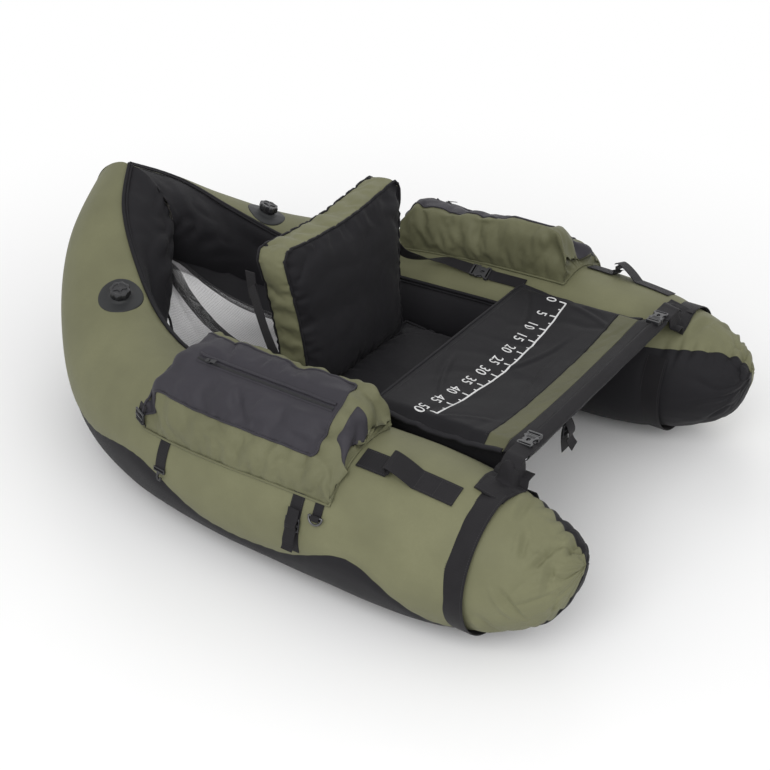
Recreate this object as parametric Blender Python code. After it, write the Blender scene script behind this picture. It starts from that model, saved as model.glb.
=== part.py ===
"""Inflatable fishing float tube, modelled at its real size.

Two air-filled pontoons meet in a raised bow. Between them are a seat with a folding
backrest, a net cargo floor, a stripping apron and a front bar, and each pontoon
carries a cargo bag. Units are metres and +Z is up. +Y points to the bow, and the
origin is on the ground under the middle of the part. Left and right are those of the
person in the seat, who faces the open end (-Y), so right is -X.
"""

import math

import bmesh
import bpy
from mathutils import Matrix, Vector
from mathutils.bvhtree import BVHTree

# Driving sizes of the whole craft
LENGTH = 1.46
TUBE_RADIUS = 0.155
HALF_SPREAD = 0.392
TIP_RISE = 0.188
BOW_RISE = 0.240

# Fabric, webbing and the clearances that part neighbours
COVER_THICKNESS = 0.0015
BLADDER_THICKNESS = 0.0010
BLADDER_MARGIN = 0.0120
WEBBING_THICKNESS = 0.0016
TOUCH = 0.0003
SKIN_LIFT = 0.0007
BEND_LIFT = 0.0012
SEW_ALLOWANCE = 0.0010

# Pontoon stations from the tip to the bow. Each row holds shares of the run from tip
# to bow, of HALF_SPREAD, of TUBE_RADIUS and of the tip's or bow's rise, then the
# section's swing as a share of a quarter turn.
STATION_SHARES = (
    (0.000, 0.940, 0.075, 1.000, 0.00),
    (0.017, 0.955, 0.350, 0.680, 0.00),
    (0.052, 0.978, 0.615, 0.370, 0.00),
    (0.105, 0.988, 0.820, 0.160, 0.00),
    (0.175, 0.990, 0.945, 0.045, 0.00),
    (0.272, 0.992, 0.998, 0.000, 0.00),
    (0.399, 0.998, 0.985, 0.000, 0.00),
    (0.519, 1.000, 0.950, 0.000, 0.02),
    (0.638, 0.962, 0.905, 0.000, 0.12),
    (0.750, 0.850, 0.880, 0.012, 0.28),
    (0.840, 0.688, 0.850, 0.138, 0.44),
    (0.914, 0.472, 0.820, 0.415, 0.60),
    (0.966, 0.250, 0.785, 0.745, 0.78),
    (1.000, 0.000, 0.762, 1.000, 1.00),
)
# Seam turns at each station as shares of half a turn, measured from the outer side
# over the top: first the inner top seam, then the outer lower seam.
SEAM_SHARES = (
    (0.55, -0.36), (0.58, -0.37), (0.66, -0.38), (0.74, -0.36), (0.79, -0.20),
    (0.80, 0.012), (0.79, -0.11), (0.79, -0.107), (0.77, 0.05), (0.72, -0.02),
    (0.67, -0.12), (0.61, -0.13), (0.55, -0.13), (0.51, -0.13),
)
RINGS_PER_STATION = 2
TOP_SEGMENTS = (8, 3)
BOTTOM_SEGMENTS = (5, 4)

# Bladder, air valve and its glued flange
BLADDER_RINGS = 18
BLADDER_SIDES = 14
VALVE_RING = 14
VALVE_SIDE = 3
VALVE_BASE_RADIUS = 0.0260
VALVE_BASE_THICKNESS = 0.0020
VALVE_BASE_LIFT = 0.0030
VALVE_NECK_RADIUS = 0.0165
VALVE_BORE_RADIUS = 0.0110
VALVE_NECK_HEIGHT = 0.0300
VALVE_HOLE_CLEARANCE = 0.0010
VALVE_CAP_RADIUS = 0.0230
VALVE_CAP_HEIGHT = 0.0140
VALVE_CAP_LOBES = 6
VALVE_CAP_NOTCH = 0.0035
VALVE_FLANGE_HALF_LENGTH = 0.050
VALVE_FLANGE_HALF_WIDTH = 0.043
VALVE_FLANGE_THICKNESS = 0.0014
VALVE_FLANGE_END_SHARE = 0.96

# Seams, tip bands and the bow's hood
PIPING_WIDTH = 0.012
PIPING_THICKNESS = 0.0030
PIPING_START_SHARE = 0.30
TIP_BAND_WIDTH = 0.037
TIP_BAND_SHARE = 0.1164
TIP_BAND_TOP_TURN = math.radians(66.0)
TIP_BAND_END_TURN = math.radians(-215.0)

# Seat and backrest
SEAT_BASE_THICKNESS = 0.004
SEAT_BASE_HEIGHT = 0.118
SEAT_FRONT_SHARE = 0.321
SEAT_REAR_SHARE = 0.565
SEAT_SIDE_GAP = 0.032
SEAT_HALF_WIDTH = HALF_SPREAD - TUBE_RADIUS - SEAT_SIDE_GAP
SEAT_THICKNESS = 0.050
SEAT_CROWN = 0.012
SEAT_DRAW_IN = 0.010
SEAT_OVERLAP = 0.030
BACK_WIDTH = SEAT_HALF_WIDTH * 2
BACK_HEIGHT = 0.335
BACK_CORE_THICKNESS = 0.054
BACK_PANEL_THICKNESS = 0.008
BACK_CROWN = 0.014
BACK_DRAW_IN = 0.012
BACK_TAPER = 0.18
BACK_LEAN = math.radians(5.5)
BACK_HINGE_SHARE = 0.485
BACK_STRAP_WIDTH = 0.025
BACK_STRAP_KNEE = 0.050
BACK_STRAP_DEPTH_SHARE = 0.80
BACK_STRAP_HEIGHT_SHARE = 0.76
BACK_BUCKLE_SHARE = 0.417
BACK_BUCKLE_TURN = math.radians(121.0)

# Apron, front bar and its fittings
APRON_REAR_SHARE = 0.339
APRON_REACH_SHARE = 0.8387
APRON_HALF_WIDTH = HALF_SPREAD - TUBE_RADIUS * APRON_REACH_SHARE
APRON_THICKNESS = 0.0020
APRON_EDGE_WIDTH = 0.020
APRON_REAR_DROP = 0.008
APRON_REAR_HEIGHT = TUBE_RADIUS * 2 - APRON_REAR_DROP
APRON_DROP = 0.010
APRON_BAND_WIDTH = 0.042
APRON_HEM_WIDTH = 0.026
BAR_SHARE = 0.120
BAR_LIFT = 0.002
BAR_HEIGHT = TUBE_RADIUS * 2 + BAR_LIFT
BAR_RADIUS = 0.0110
BAR_WALL = 0.0015
BAR_HALF_LENGTH = 0.330
SLEEVE_THICKNESS = 0.0015
BAR_END_LENGTH = 0.045
SLEEVE_HALF_LENGTH = BAR_HALF_LENGTH - BAR_END_LENGTH
BAR_POCKET_LENGTH = 0.110
BAR_POCKET_WIDTH = 0.070
BAR_POCKET_THICKNESS = 0.0030
HANG_STRAP_WIDTH = 0.025
HANG_STRAP_DROP = 0.070
HANG_STRAP_SWAY = 0.004
HANG_OFFSET_SHARE = -0.30

# Side-release buckles, ladder locks, rings
BUCKLE_LENGTH = 0.034
BUCKLE_WIDTH = 0.030
BUCKLE_HEIGHT = 0.0085
BUCKLE_WALL = 0.0016
BUCKLE_CAVITY_DEPTH = 0.0230
BUCKLE_SLOT = 0.0040
PLUG_HEAD_LENGTH = 0.0120
PLUG_CLEARANCE = 0.0005
LOCK_LENGTH = 0.026
LOCK_WIDTH = 0.031
LOCK_HEIGHT = 0.0050
LOCK_RAIL = 0.0045
RING_RADIUS = 0.0140
RING_ROD = 0.0020
RING_TAB_LENGTH = 0.030
RING_TAB_WIDTH = 0.018

# Cargo bags, their zips and webbing
BAG_REAR_SHARE = 0.566
BAG_FRONT_SHARE = 0.282
BAG_INNER_TURN = math.radians(111.0)
BAG_OUTER_TURN = math.radians(34.0)
BAG_INNER_RISE = 0.070
BAG_INNER_HEIGHT = TUBE_RADIUS * 2 + BAG_INNER_RISE
BAG_OUTER_DROP = 0.006
BAG_OUTER_HEIGHT = TUBE_RADIUS * 2 - BAG_OUTER_DROP
BAG_INNER_OFFSET = 0.050
BAG_OUTER_OFFSET = 0.096
BAG_SHOULDER = 0.012
BAG_CROWN = 0.022
BAG_LID_STEPS = 6
BAG_NOSE_LENGTH = 0.066
BAG_HEEL_LENGTH = 0.030
BAG_END_HEIGHT = 0.020
BAG_NOSE_FULLNESS = 0.72
BAG_END_FULLNESS = 0.35
BAG_CLEARANCE = 0.0010
BAG_LID_THICKNESS = 0.0025
ZIP_PULL_LENGTH = 0.026
ZIP_PULL_WIDTH = 0.009
ZIP_PULL_HEIGHT = 0.006
ZIP_MARGIN = 0.030
ZIP_SHARE = 0.45
BAG_WEBBING_WIDTH = 0.025
BAG_STRAP_LOW_TURN = math.radians(-8.0)
BAG_LOCK_TURN = math.radians(14.0)
BAG_STRAP_FRONT_SHARE = 0.333
BAG_STRAP_REAR_SHARE = 0.546
RING_TAB_SHARE = 0.302

# Rod strap with its raised loop
ROD_STRAP_LENGTH = 0.193
ROD_STRAP_WIDTH = 0.042
ROD_STRAP_TURN = math.radians(72.0)
ROD_LOOP_LENGTH = 0.056
ROD_LOOP_HEIGHT = 0.024
ROD_LOOP_SHARE = 0.45

# Cargo net between the pontoons behind the seat
NET_COLUMNS = 8
NET_ROWS = 12
NET_CORD_SHARE = 0.30
NET_THICKNESS = 0.0024
NET_REAR_SHARE = 0.859
NET_FRONT_SHARE = 0.578
NET_REAR_HEIGHT = 0.236
NET_FRONT_HEIGHT = 0.106
NET_SIDE_RISE = 0.014
NET_WALL_GAP = 0.0018

# Colours as linear red, green and blue, with roughness and metallic values
FINISHES = {
    "olive_fabric": ((0.190, 0.200, 0.115, 1.0), 0.80, 0.0),
    "black_fabric": ((0.035, 0.034, 0.038, 1.0), 0.75, 0.0),
    "webbing": ((0.022, 0.022, 0.024, 1.0), 0.85, 0.0),
    "buckle_plastic": ((0.016, 0.016, 0.018, 1.0), 0.40, 0.0),
    "valve_rubber": ((0.030, 0.031, 0.034, 1.0), 0.55, 0.0),
    "bladder_film": ((0.420, 0.400, 0.360, 1.0), 0.35, 0.0),
    "bar_metal": ((0.560, 0.570, 0.580, 1.0), 0.35, 1.0),
    "net_cord": ((0.018, 0.018, 0.019, 1.0), 0.70, 0.0),
}
SIDES = (("left", 1), ("right", -1))
QUARTER = math.radians(90.0)
HALF = math.radians(180.0)
FULL = math.radians(360.0)
LAST_STATION = len(STATION_SHARES) - 1
LAST_RING = LAST_STATION * RINGS_PER_STATION


def clear_scene():
    """Remove whatever the file opened with."""
    for item in list(bpy.data.objects):
        bpy.data.objects.remove(item, do_unlink=True)


def make_material(name, finish):
    """A Principled material of its own for one sub-part."""
    colour, roughness, metallic = FINISHES[finish]
    material = bpy.data.materials.new(name + "_" + finish)
    material.use_nodes = True
    shader = material.node_tree.nodes["Principled BSDF"]
    shader.inputs["Base Color"].default_value = colour
    shader.inputs["Roughness"].default_value = roughness
    shader.inputs["Metallic"].default_value = metallic
    material.diffuse_color = colour
    return material


def add_object(name, mesh_data, finish, smooth=True, parent=None):
    """Turn a bmesh or a mesh into a named object with its own material."""
    if isinstance(mesh_data, bmesh.types.BMesh):
        bmesh.ops.recalc_face_normals(mesh_data, faces=mesh_data.faces)
        if mesh_data.calc_volume(signed=True) < 0:
            bmesh.ops.reverse_faces(mesh_data, faces=mesh_data.faces)
        mesh = bpy.data.meshes.new(name)
        mesh_data.to_mesh(mesh)
        mesh_data.free()
    else:
        mesh = mesh_data
    item = bpy.data.objects.new(name, mesh)
    bpy.context.scene.collection.objects.link(item)
    mesh.materials.clear()
    mesh.materials.append(make_material(name, finish))
    if smooth:
        mesh.shade_smooth()
        mesh.set_sharp_from_angle(angle=math.radians(35.0))
    if parent is not None:
        item.parent = parent
    return item


def add_cutter(name, bm, parent=None):
    """A hidden solid that a Boolean subtracts."""
    item = add_object(name, bm, "webbing", smooth=False, parent=parent)
    item.hide_render = True
    item.display_type = "WIRE"
    return item


def cut(item, cutter):
    """Subtract a cutter from an object."""
    modifier = item.modifiers.new("cut", "BOOLEAN")
    modifier.operation = "DIFFERENCE"
    modifier.object = cutter


def pivot(name, location, rotation=(0, 0, 0)):
    """An empty on a joint's axis that moving pieces hang from."""
    empty = bpy.data.objects.new(name, None)
    empty.location = location
    empty.rotation_euler = rotation
    bpy.context.scene.collection.objects.link(empty)
    return empty


def catmull_rom(rows, place):
    """Smooth value between table rows at a place counted in rows."""
    index = min(int(place), len(rows) - 2)
    step = place - index
    before = rows[max(index - 1, 0)]
    after = rows[min(index + 2, len(rows) - 1)]
    values = []
    for a, b, c, d in zip(before, rows[index], rows[index + 1], after):
        curve = 2 * b + (c - a) * step
        curve += (2 * a - 5 * b + 4 * c - d) * step ** 2
        curve += (3 * b - a - 3 * c + d) * step ** 3
        values.append(curve / 2)
    return values


def bow_radius():
    """Section radius where the two pontoons meet."""
    return TUBE_RADIUS * STATION_SHARES[-1][2]


def hull_frame(place):
    """Centre, outward direction and radius of the left pontoon at a place in rows."""
    run, spread, girth, rise, swing = catmull_rom(STATION_SHARES, place)
    radius = TUBE_RADIUS * max(girth, STATION_SHARES[0][2] / 2)
    lift = rise * (TIP_RISE if place < LAST_STATION / 2 else BOW_RISE)
    centre = Vector((
        max(spread, 0) * HALF_SPREAD,
        run * (LENGTH - bow_radius()) - LENGTH / 2,
        radius + max(lift, 0),
    ))
    angle = min(max(swing, 0), 1) * QUARTER
    return centre, Vector((math.cos(angle), math.sin(angle), 0)), radius


def hull_point(place, turn, lift=0.0, side=1):
    """A point on a pontoon at a turn from its outer side over its top."""
    centre, outward, radius = hull_frame(place)
    reach = radius + lift
    point = centre + outward * (reach * math.cos(turn))
    point.z += reach * math.sin(turn)
    point.x *= side
    return point


def seam_turns(place):
    """Turns of the inner top seam and of the outer lower seam."""
    inner, outer = catmull_rom(SEAM_SHARES, place)
    return inner * HALF, outer * HALF


def place_at(y):
    """The place in rows where the pontoon's centre line has this y."""
    low, high = 0.0, float(LAST_STATION)
    for _ in range(40):
        middle = (low + high) / 2
        if hull_frame(middle)[0].y < y:
            low = middle
        else:
            high = middle
    return (low + high) / 2


def skin_point(y, turn, lift=0.0, side=1):
    """The point at this y on a pontoon's skin, or above it, at a turn."""
    low, high = 0.0, float(LAST_STATION)
    for _ in range(40):
        middle = (low + high) / 2
        if hull_point(middle, turn, lift).y < y:
            low = middle
        else:
            high = middle
    return hull_point(low, turn, lift, side)


def skin_height(x, y):
    """Height of the left pontoon's round top at x and y, where it runs straight."""
    centre, _, radius = hull_frame(place_at(y))
    return centre.z + math.sqrt(max(radius ** 2 - (x - centre.x) ** 2, 0))


def share_to_y(share):
    """A y place from its share of the overall length, from the tip."""
    return (share - 1 / 2) * LENGTH


def spread_values(start, stop, count):
    """Evenly spread values with both ends in."""
    return [start + (stop - start) * step / count for step in range(count + 1)]


def piecewise(stops, counts):
    """Values that pass through each stop, with its own count between stops."""
    values = [stops[0]]
    for start, stop, count in zip(stops, stops[1:], counts):
        values.extend(spread_values(start, stop, count)[1:])
    return values


def add_quad(bm, corners, flip=False):
    """Append a four-sided face as two triangles, split from its first corner."""
    a, b, c, d = corners
    for triangle in ((a, b, c), (a, c, d)):
        bm.faces.new(triangle[::-1] if flip else triangle)


def grid_shell(outer, inner, closed_ring=False):
    """A closed solid between two grids of points with the same rows and columns."""
    bm = bmesh.new()
    layers = [[[bm.verts.new(p) for p in row] for row in grid] for grid in (outer, inner)]
    rows = len(outer)
    columns = len(outer[0])
    last = columns if closed_ring else columns - 1
    for layer, flip in zip(layers, (False, True)):
        for i in range(rows - 1):
            for j in range(last):
                k = (j + 1) % columns
                quad = [layer[i][j], layer[i][k], layer[i + 1][k], layer[i + 1][j]]
                add_quad(bm, quad, flip)
    top, low = layers
    for i in (0, rows - 1):
        for j in range(last):
            k = (j + 1) % columns
            bm.faces.new([top[i][j], top[i][k], low[i][k], low[i][j]])
    if not closed_ring:
        for j in (0, columns - 1):
            for i in range(rows - 1):
                bm.faces.new([top[i][j], top[i + 1][j], low[i + 1][j], low[i][j]])
    return bm


def add_box(bm, centre, size, rotation=None):
    """Append a box to a bmesh."""
    matrix = Matrix.Translation(centre)
    if rotation is not None:
        matrix = matrix @ rotation.to_4x4()
    matrix = matrix @ Matrix.Diagonal((*size, 1))
    return bmesh.ops.create_cube(bm, size=1, matrix=matrix)["verts"]


def ribbon(bm, points, across, normals, width, thickness):
    """Append a flat strap that follows points, lying on the side its normals leave."""
    rings = []
    for point, side, normal in zip(points, across, normals):
        half = side.normalized() * (width / 2)
        rise = normal.normalized() * thickness
        ring = (point - half, point + half, point + half + rise, point - half + rise)
        rings.append([bm.verts.new(corner) for corner in ring])
    for first, second in zip(rings, rings[1:]):
        for j, k, flip in ((0, 1, False), (3, 2, True), (1, 2, False), (3, 0, False)):
            add_quad(bm, (first[j], first[k], second[k], second[j]), flip)
    bm.faces.new(rings[0])
    bm.faces.new(rings[-1])


def cover_grid(side, lift, turns_at, trim, first_ring=0):
    """Rings of one cover panel from its first ring to the bow."""
    rows = []
    for ring in range(first_ring, LAST_RING + 1):
        place = ring / RINGS_PER_STATION
        row = []
        for turn in turns_at(place):
            point = hull_point(place, turn, lift, side)
            if ring == LAST_RING:
                point.x = side * trim
            row.append(point)
        rows.append(row)
    return rows


def seam_gap_turn(place):
    """Half the gap between two sewn panels, as a turn."""
    return (TOUCH / 2) / hull_frame(place)[2]


def top_turns(place):
    """Turns of the olive panel's columns."""
    inner, outer = seam_turns(place)
    gap = seam_gap_turn(place)
    return piecewise((outer + gap, QUARTER, inner - gap), TOP_SEGMENTS)


def bottom_turns(place):
    """Turns of the black panel's columns, round the inner side and underneath."""
    inner, outer = seam_turns(place)
    gap = seam_gap_turn(place)
    return piecewise((inner + gap, FULL - QUARTER, FULL + outer - gap), BOTTOM_SEGMENTS)


def make_covers(side_name, side):
    """The sewn outer skin of one pontoon: olive outside and top, black beneath."""
    covers = []
    for name, turns, finish in (
        ("_cover_top", top_turns, "olive_fabric"),
        ("_cover_bottom", bottom_turns, "black_fabric"),
    ):
        outer = cover_grid(side, 0.0, turns, TOUCH / 2)
        inner = cover_grid(side, -COVER_THICKNESS, turns, TOUCH / 2)
        covers.append(add_object(side_name + name, grid_shell(outer, inner), finish))
    return covers


def bladder_places():
    """Places in rows of the bladder's rings."""
    margin = BLADDER_MARGIN / LENGTH * LAST_STATION
    return spread_values(1.0, LAST_STATION - margin * 4, BLADDER_RINGS)


def bladder_point(place, turn, lift, side):
    """A point on the bladder, which lies well inside its cover."""
    radius = hull_frame(place)[2]
    depth = min(BLADDER_MARGIN, radius / 3)
    return hull_point(place, turn, lift - depth, side)


def make_bladder(side_name, side):
    """The air chamber: a thin closed tube with the valve's hole in it."""
    bm = bmesh.new()
    turns = [FULL * j / BLADDER_SIDES for j in range(BLADDER_SIDES)]
    places = bladder_places()
    for lift, flip in ((0.0, False), (-BLADDER_THICKNESS, True)):
        rings = []
        for index, place in enumerate(places):
            inset = BLADDER_THICKNESS if flip else 0.0
            shift = Vector((0, 0, 0))
            if index == 0:
                shift.y = inset
            if index == len(places) - 1:
                shift.x = side * inset
            ring = [bm.verts.new(bladder_point(place, t, lift, side) + shift) for t in turns]
            rings.append(ring)
        for first, second in zip(rings, rings[1:]):
            for j in range(BLADDER_SIDES):
                k = (j + 1) % BLADDER_SIDES
                quad = [first[j], first[k], second[k], second[j]]
                bm.faces.new(quad[::-1] if flip else quad)
        bm.faces.new(rings[0] if flip else rings[0][::-1])
        bm.faces.new(rings[-1][::-1] if flip else rings[-1])
    if side < 0:
        bmesh.ops.reverse_faces(bm, faces=bm.faces)
    mesh = bpy.data.meshes.new(side_name + "_bladder")
    bm.to_mesh(mesh)
    bm.free()
    return add_object(side_name + "_bladder", mesh, "bladder_film")


def valve_frame(side):
    """Centre and axes of the bladder's facet that carries the valve."""
    places = bladder_places()
    first, second = places[VALVE_RING], places[VALVE_RING + 1]
    low = FULL * VALVE_SIDE / BLADDER_SIDES
    high = FULL * (VALVE_SIDE + 1) / BLADDER_SIDES
    corners = [
        bladder_point(first, low, 0.0, side),
        bladder_point(second, low, 0.0, side),
        bladder_point(second, high, 0.0, side),
        bladder_point(first, high, 0.0, side),
    ]
    centre = sum(corners, Vector()) / len(corners)
    normal = (corners[2] - corners[0]).cross(corners[3] - corners[1]) * side
    normal.normalize()
    along = (corners[1] + corners[2] - corners[0] - corners[3]).normalized()
    along = (along - normal * along.dot(normal)).normalized()
    across = normal.cross(along)
    basis = Matrix((along, across, normal)).transposed()
    middle = (first + second) / 2
    return centre, basis, middle, (low + high) / 2


def turned(profile, segments):
    """A solid of revolution about Z from (radius, height) corners, closed in itself."""
    bm = bmesh.new()
    rings = []
    for radius, height in profile:
        ring = []
        for step in range(segments):
            angle = FULL * step / segments
            ring.append(bm.verts.new((radius * math.cos(angle), radius * math.sin(angle), height)))
        rings.append(ring)
    for first, second in zip(rings, rings[1:] + rings[:1]):
        for j in range(segments):
            k = (j + 1) % segments
            bm.faces.new([first[j], first[k], second[k], second[j]])
    return bm


def cylinder(radius, low, high, segments):
    """A plain closed cylinder about Z."""
    bm = bmesh.new()
    rings = []
    for height in (low, high):
        ring = []
        for step in range(segments):
            angle = FULL * step / segments
            ring.append(bm.verts.new((radius * math.cos(angle), radius * math.sin(angle), height)))
        rings.append(ring)
    for j in range(segments):
        k = (j + 1) % segments
        bm.faces.new([rings[0][j], rings[0][k], rings[1][k], rings[1][j]])
    bm.faces.new(rings[0][::-1])
    bm.faces.new(rings[1])
    return bm


def star_knob():
    """A cap with finger notches that screws over the valve's neck."""
    bore = VALVE_NECK_RADIUS + PLUG_CLEARANCE
    top = VALVE_CAP_HEIGHT
    roof = VALVE_CAP_HEIGHT / 3
    steps = VALVE_CAP_LOBES * 4
    bm = bmesh.new()
    rims = [[], [], [], []]
    for step in range(steps):
        angle = FULL * step / steps
        wave = (1 + math.cos(VALVE_CAP_LOBES * angle)) / 2
        outer = VALVE_CAP_RADIUS - VALVE_CAP_NOTCH * (1 - wave)
        spots = ((bore, 0.0), (outer, 0.0), (outer, top), (bore, top - roof))
        for rim, (radius, height) in zip(rims, spots):
            rim.append(bm.verts.new((radius * math.cos(angle), radius * math.sin(angle), height)))
    for first, second in ((0, 1), (1, 2), (3, 0)):
        for j in range(steps):
            k = (j + 1) % steps
            bm.faces.new([rims[first][j], rims[first][k], rims[second][k], rims[second][j]])
    bm.faces.new(rims[2])
    bm.faces.new(rims[3])
    return bm


def make_valve(side_name, side, cover, bladder, walls):
    """Flange, body and screw cap of one air valve, and the holes they sit in."""
    centre, basis, place, turn = valve_frame(side)
    base = pivot(side_name + "_valve_axis", centre, basis.to_euler())
    hole = VALVE_NECK_RADIUS + VALVE_HOLE_CLEARANCE
    reach = VALVE_NECK_HEIGHT + BLADDER_MARGIN
    cover_cutter = add_cutter(
        side_name + "_cover_hole", cylinder(hole, TOUCH, reach, 24), parent=base
    )
    cut(cover, cover_cutter)
    bladder_cutter = add_cutter(
        side_name + "_bladder_hole",
        cylinder(VALVE_BORE_RADIUS, -VALVE_BASE_LIFT * 2, VALVE_BASE_LIFT, 24),
        parent=base,
    )
    cut(bladder, bladder_cutter)
    profile = (
        (VALVE_BORE_RADIUS, VALVE_BASE_LIFT - VALVE_BASE_THICKNESS),
        (VALVE_BASE_RADIUS, VALVE_BASE_LIFT - VALVE_BASE_THICKNESS),
        (VALVE_BASE_RADIUS, VALVE_BASE_LIFT),
        (VALVE_NECK_RADIUS, VALVE_BASE_LIFT),
        (VALVE_NECK_RADIUS, VALVE_NECK_HEIGHT),
        (VALVE_BORE_RADIUS, VALVE_NECK_HEIGHT),
    )
    add_object(side_name + "_valve_body", turned(profile, 24), "buckle_plastic", parent=base)
    cap = add_object(side_name + "_valve_cap", star_knob(), "buckle_plastic", parent=base)
    roof_gap = VALVE_CAP_HEIGHT - VALVE_CAP_HEIGHT / 3 - TOUCH
    cap.location = (0, 0, VALVE_NECK_HEIGHT - roof_gap)
    flange = oval_patch(side, place, turn, walls)
    item = add_object(side_name + "_valve_flange", flange, "valve_rubber")
    cut(item, cover_cutter)


def oval_patch(side, place, turn, walls):
    """The oval rubber patch glued round the valve, bent to the pontoon."""
    radius = hull_frame(place)[2]
    row_length = (hull_point(place + 1 / 2, turn) - hull_point(place - 1 / 2, turn)).length
    grids = []
    for lift in (BEND_LIFT + VALVE_FLANGE_THICKNESS, BEND_LIFT):
        rows = []
        for j in range(7):
            share = (j - 3) / 3
            row = []
            for k in range(9):
                across = (k - 4) / 4
                reach = math.sqrt(1 - (share * VALVE_FLANGE_END_SHARE) ** 2)
                along = place + across * reach * VALVE_FLANGE_HALF_WIDTH / row_length
                around = turn + share * VALVE_FLANGE_HALF_LENGTH / radius
                row.append(walls.seat(along, around, lift, side))
            rows.append(row)
        grids.append(rows)
    return grid_shell(*grids)


def hull_strip(side, places, turns, lift, thickness, closed_ring=False):
    """A skin of even thickness that lies on a stretch of a pontoon."""
    grids = []
    for height in (lift + thickness, lift):
        rows = [[hull_point(p, t, height, side) for t in turns] for p in places]
        grids.append(rows)
    return grid_shell(*grids, closed_ring=closed_ring)


def piping_turns(place):
    """Turns of the rolled edge's columns, either side of the inner top seam."""
    inner = seam_turns(place)[0]
    half = (PIPING_WIDTH / 2) / hull_frame(place)[2]
    return spread_values(inner - half, inner + half, 2)


def make_piping(side_name, side):
    """The rolled black edge along the inner top seam, from the bags to the bow."""
    first_ring = round(LAST_RING * PIPING_START_SHARE)
    grids = [
        cover_grid(side, lift, piping_turns, TOUCH / 2, first_ring)
        for lift in (BEND_LIFT + PIPING_THICKNESS, BEND_LIFT)
    ]
    add_object(side_name + "_seam_piping", grid_shell(*grids), "black_fabric")


def make_tip_band(side_name, side):
    """The webbing band sewn round the pontoon where its tip begins to taper."""
    middle = share_to_y(TIP_BAND_SHARE)
    half = TIP_BAND_WIDTH / 2
    places = [place_at(y) for y in (middle - half, middle, middle + half)]
    turns = spread_values(TIP_BAND_TOP_TURN, TIP_BAND_END_TURN, 32)
    bm = hull_strip(side, places, turns, SKIN_LIFT, WEBBING_THICKNESS)
    add_object(side_name + "_tip_band", bm, "webbing")


class Walls:
    """Rays against the finished pontoon skins, so that neighbours meet them."""

    def __init__(self, covers):
        graph = bpy.context.evaluated_depsgraph_get()
        self.trees = [BVHTree.FromObject(cover, graph) for cover in covers]

    def distance(self, origin, direction):
        """Distance from a point to the nearest skin along a direction."""
        best = None
        for tree in self.trees:
            hit = tree.ray_cast(Vector(origin), Vector(direction))
            if hit[0] is not None and (best is None or hit[3] < best):
                best = hit[3]
        return best

    def seat(self, place, turn, lift, side):
        """The point at a lift above the skin, straight out from its centre line."""
        start = hull_point(place, turn, TUBE_RADIUS / 4, side)
        centre, _, _ = hull_frame(place)
        centre.x *= side
        inward = (centre - start).normalized()
        return start + inward * (self.distance(start, inward) - lift)

    def half_width(self, y, z):
        """Room from the middle plane to the left pontoon's inner wall."""
        return self.distance((0, y, z), (1, 0, 0))


def pillow(half_width, half_height, thickness, crown, draw_in, columns, rows, taper=0.0):
    """A crowned cushion panel in the XY plane, its flat back at z = 0.

    A tapered one narrows towards -Y, where its end stays straight.
    """
    grids = []
    for face in (1, 0):
        grid = []
        for j in range(rows + 1):
            v = -1 + 2 * j / rows
            row = []
            for i in range(columns + 1):
                u = -1 + 2 * i / columns
                width = half_width * (1 - taper * (1 - v) / 2)
                x = u * (width - draw_in * (1 - v * v))
                pull = 0 if taper and v < 0 else draw_in
                y = v * (half_height - pull * (1 - u * u))
                z = face * (thickness + crown * (1 - u * u) * (1 - v * v))
                row.append(Vector((x, y, z)))
            grid.append(row)
        grids.append(grid)
    return grid_shell(*grids)


def make_seat(walls):
    """The sling between the pontoons and the cushion that lies on it."""
    front = share_to_y(SEAT_FRONT_SHARE)
    rear = share_to_y(SEAT_REAR_SHARE)
    grids = []
    for height in (SEAT_BASE_HEIGHT, SEAT_BASE_HEIGHT - SEAT_BASE_THICKNESS):
        rows = []
        for y in spread_values(front, rear, 8):
            room = walls.half_width(y, SEAT_BASE_HEIGHT) - SEW_ALLOWANCE / 2
            rows.append([Vector((x, y, height)) for x in spread_values(-room, room, 2)])
        grids.append(rows)
    add_object("seat_base", grid_shell(*grids), "black_fabric")
    cushion = pillow(
        SEAT_HALF_WIDTH, seat_half_depth(), SEAT_THICKNESS, SEAT_CROWN, SEAT_DRAW_IN, 10, 8
    )
    item = add_object("seat_cushion", cushion, "black_fabric")
    item.location = (0, seat_middle(), SEAT_BASE_HEIGHT + TOUCH)


def seat_rear():
    """The cushion's rear edge, a little behind the backrest's hinge."""
    return share_to_y(BACK_HINGE_SHARE) + SEAT_OVERLAP


def seat_half_depth():
    """Half the cushion's depth from front to rear."""
    return (seat_rear() - share_to_y(SEAT_FRONT_SHARE) - SEW_ALLOWANCE) / 2


def seat_middle():
    """The cushion's middle along the craft."""
    return seat_rear() - seat_half_depth()


def back_hinge_point():
    """The backrest's hinge, set so that the front panel's foot rests on the cushion."""
    y = share_to_y(BACK_HINGE_SHARE)
    foot = BACK_CROWN
    across = (y + foot - seat_middle()) / (seat_half_depth() - SEAT_DRAW_IN)
    crown = SEAT_CROWN * (1 - across * across)
    top = SEAT_BASE_HEIGHT + TOUCH + SEAT_THICKNESS + crown
    return Vector((0, y, top + TOUCH + foot * math.sin(BACK_LEAN)))


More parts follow.
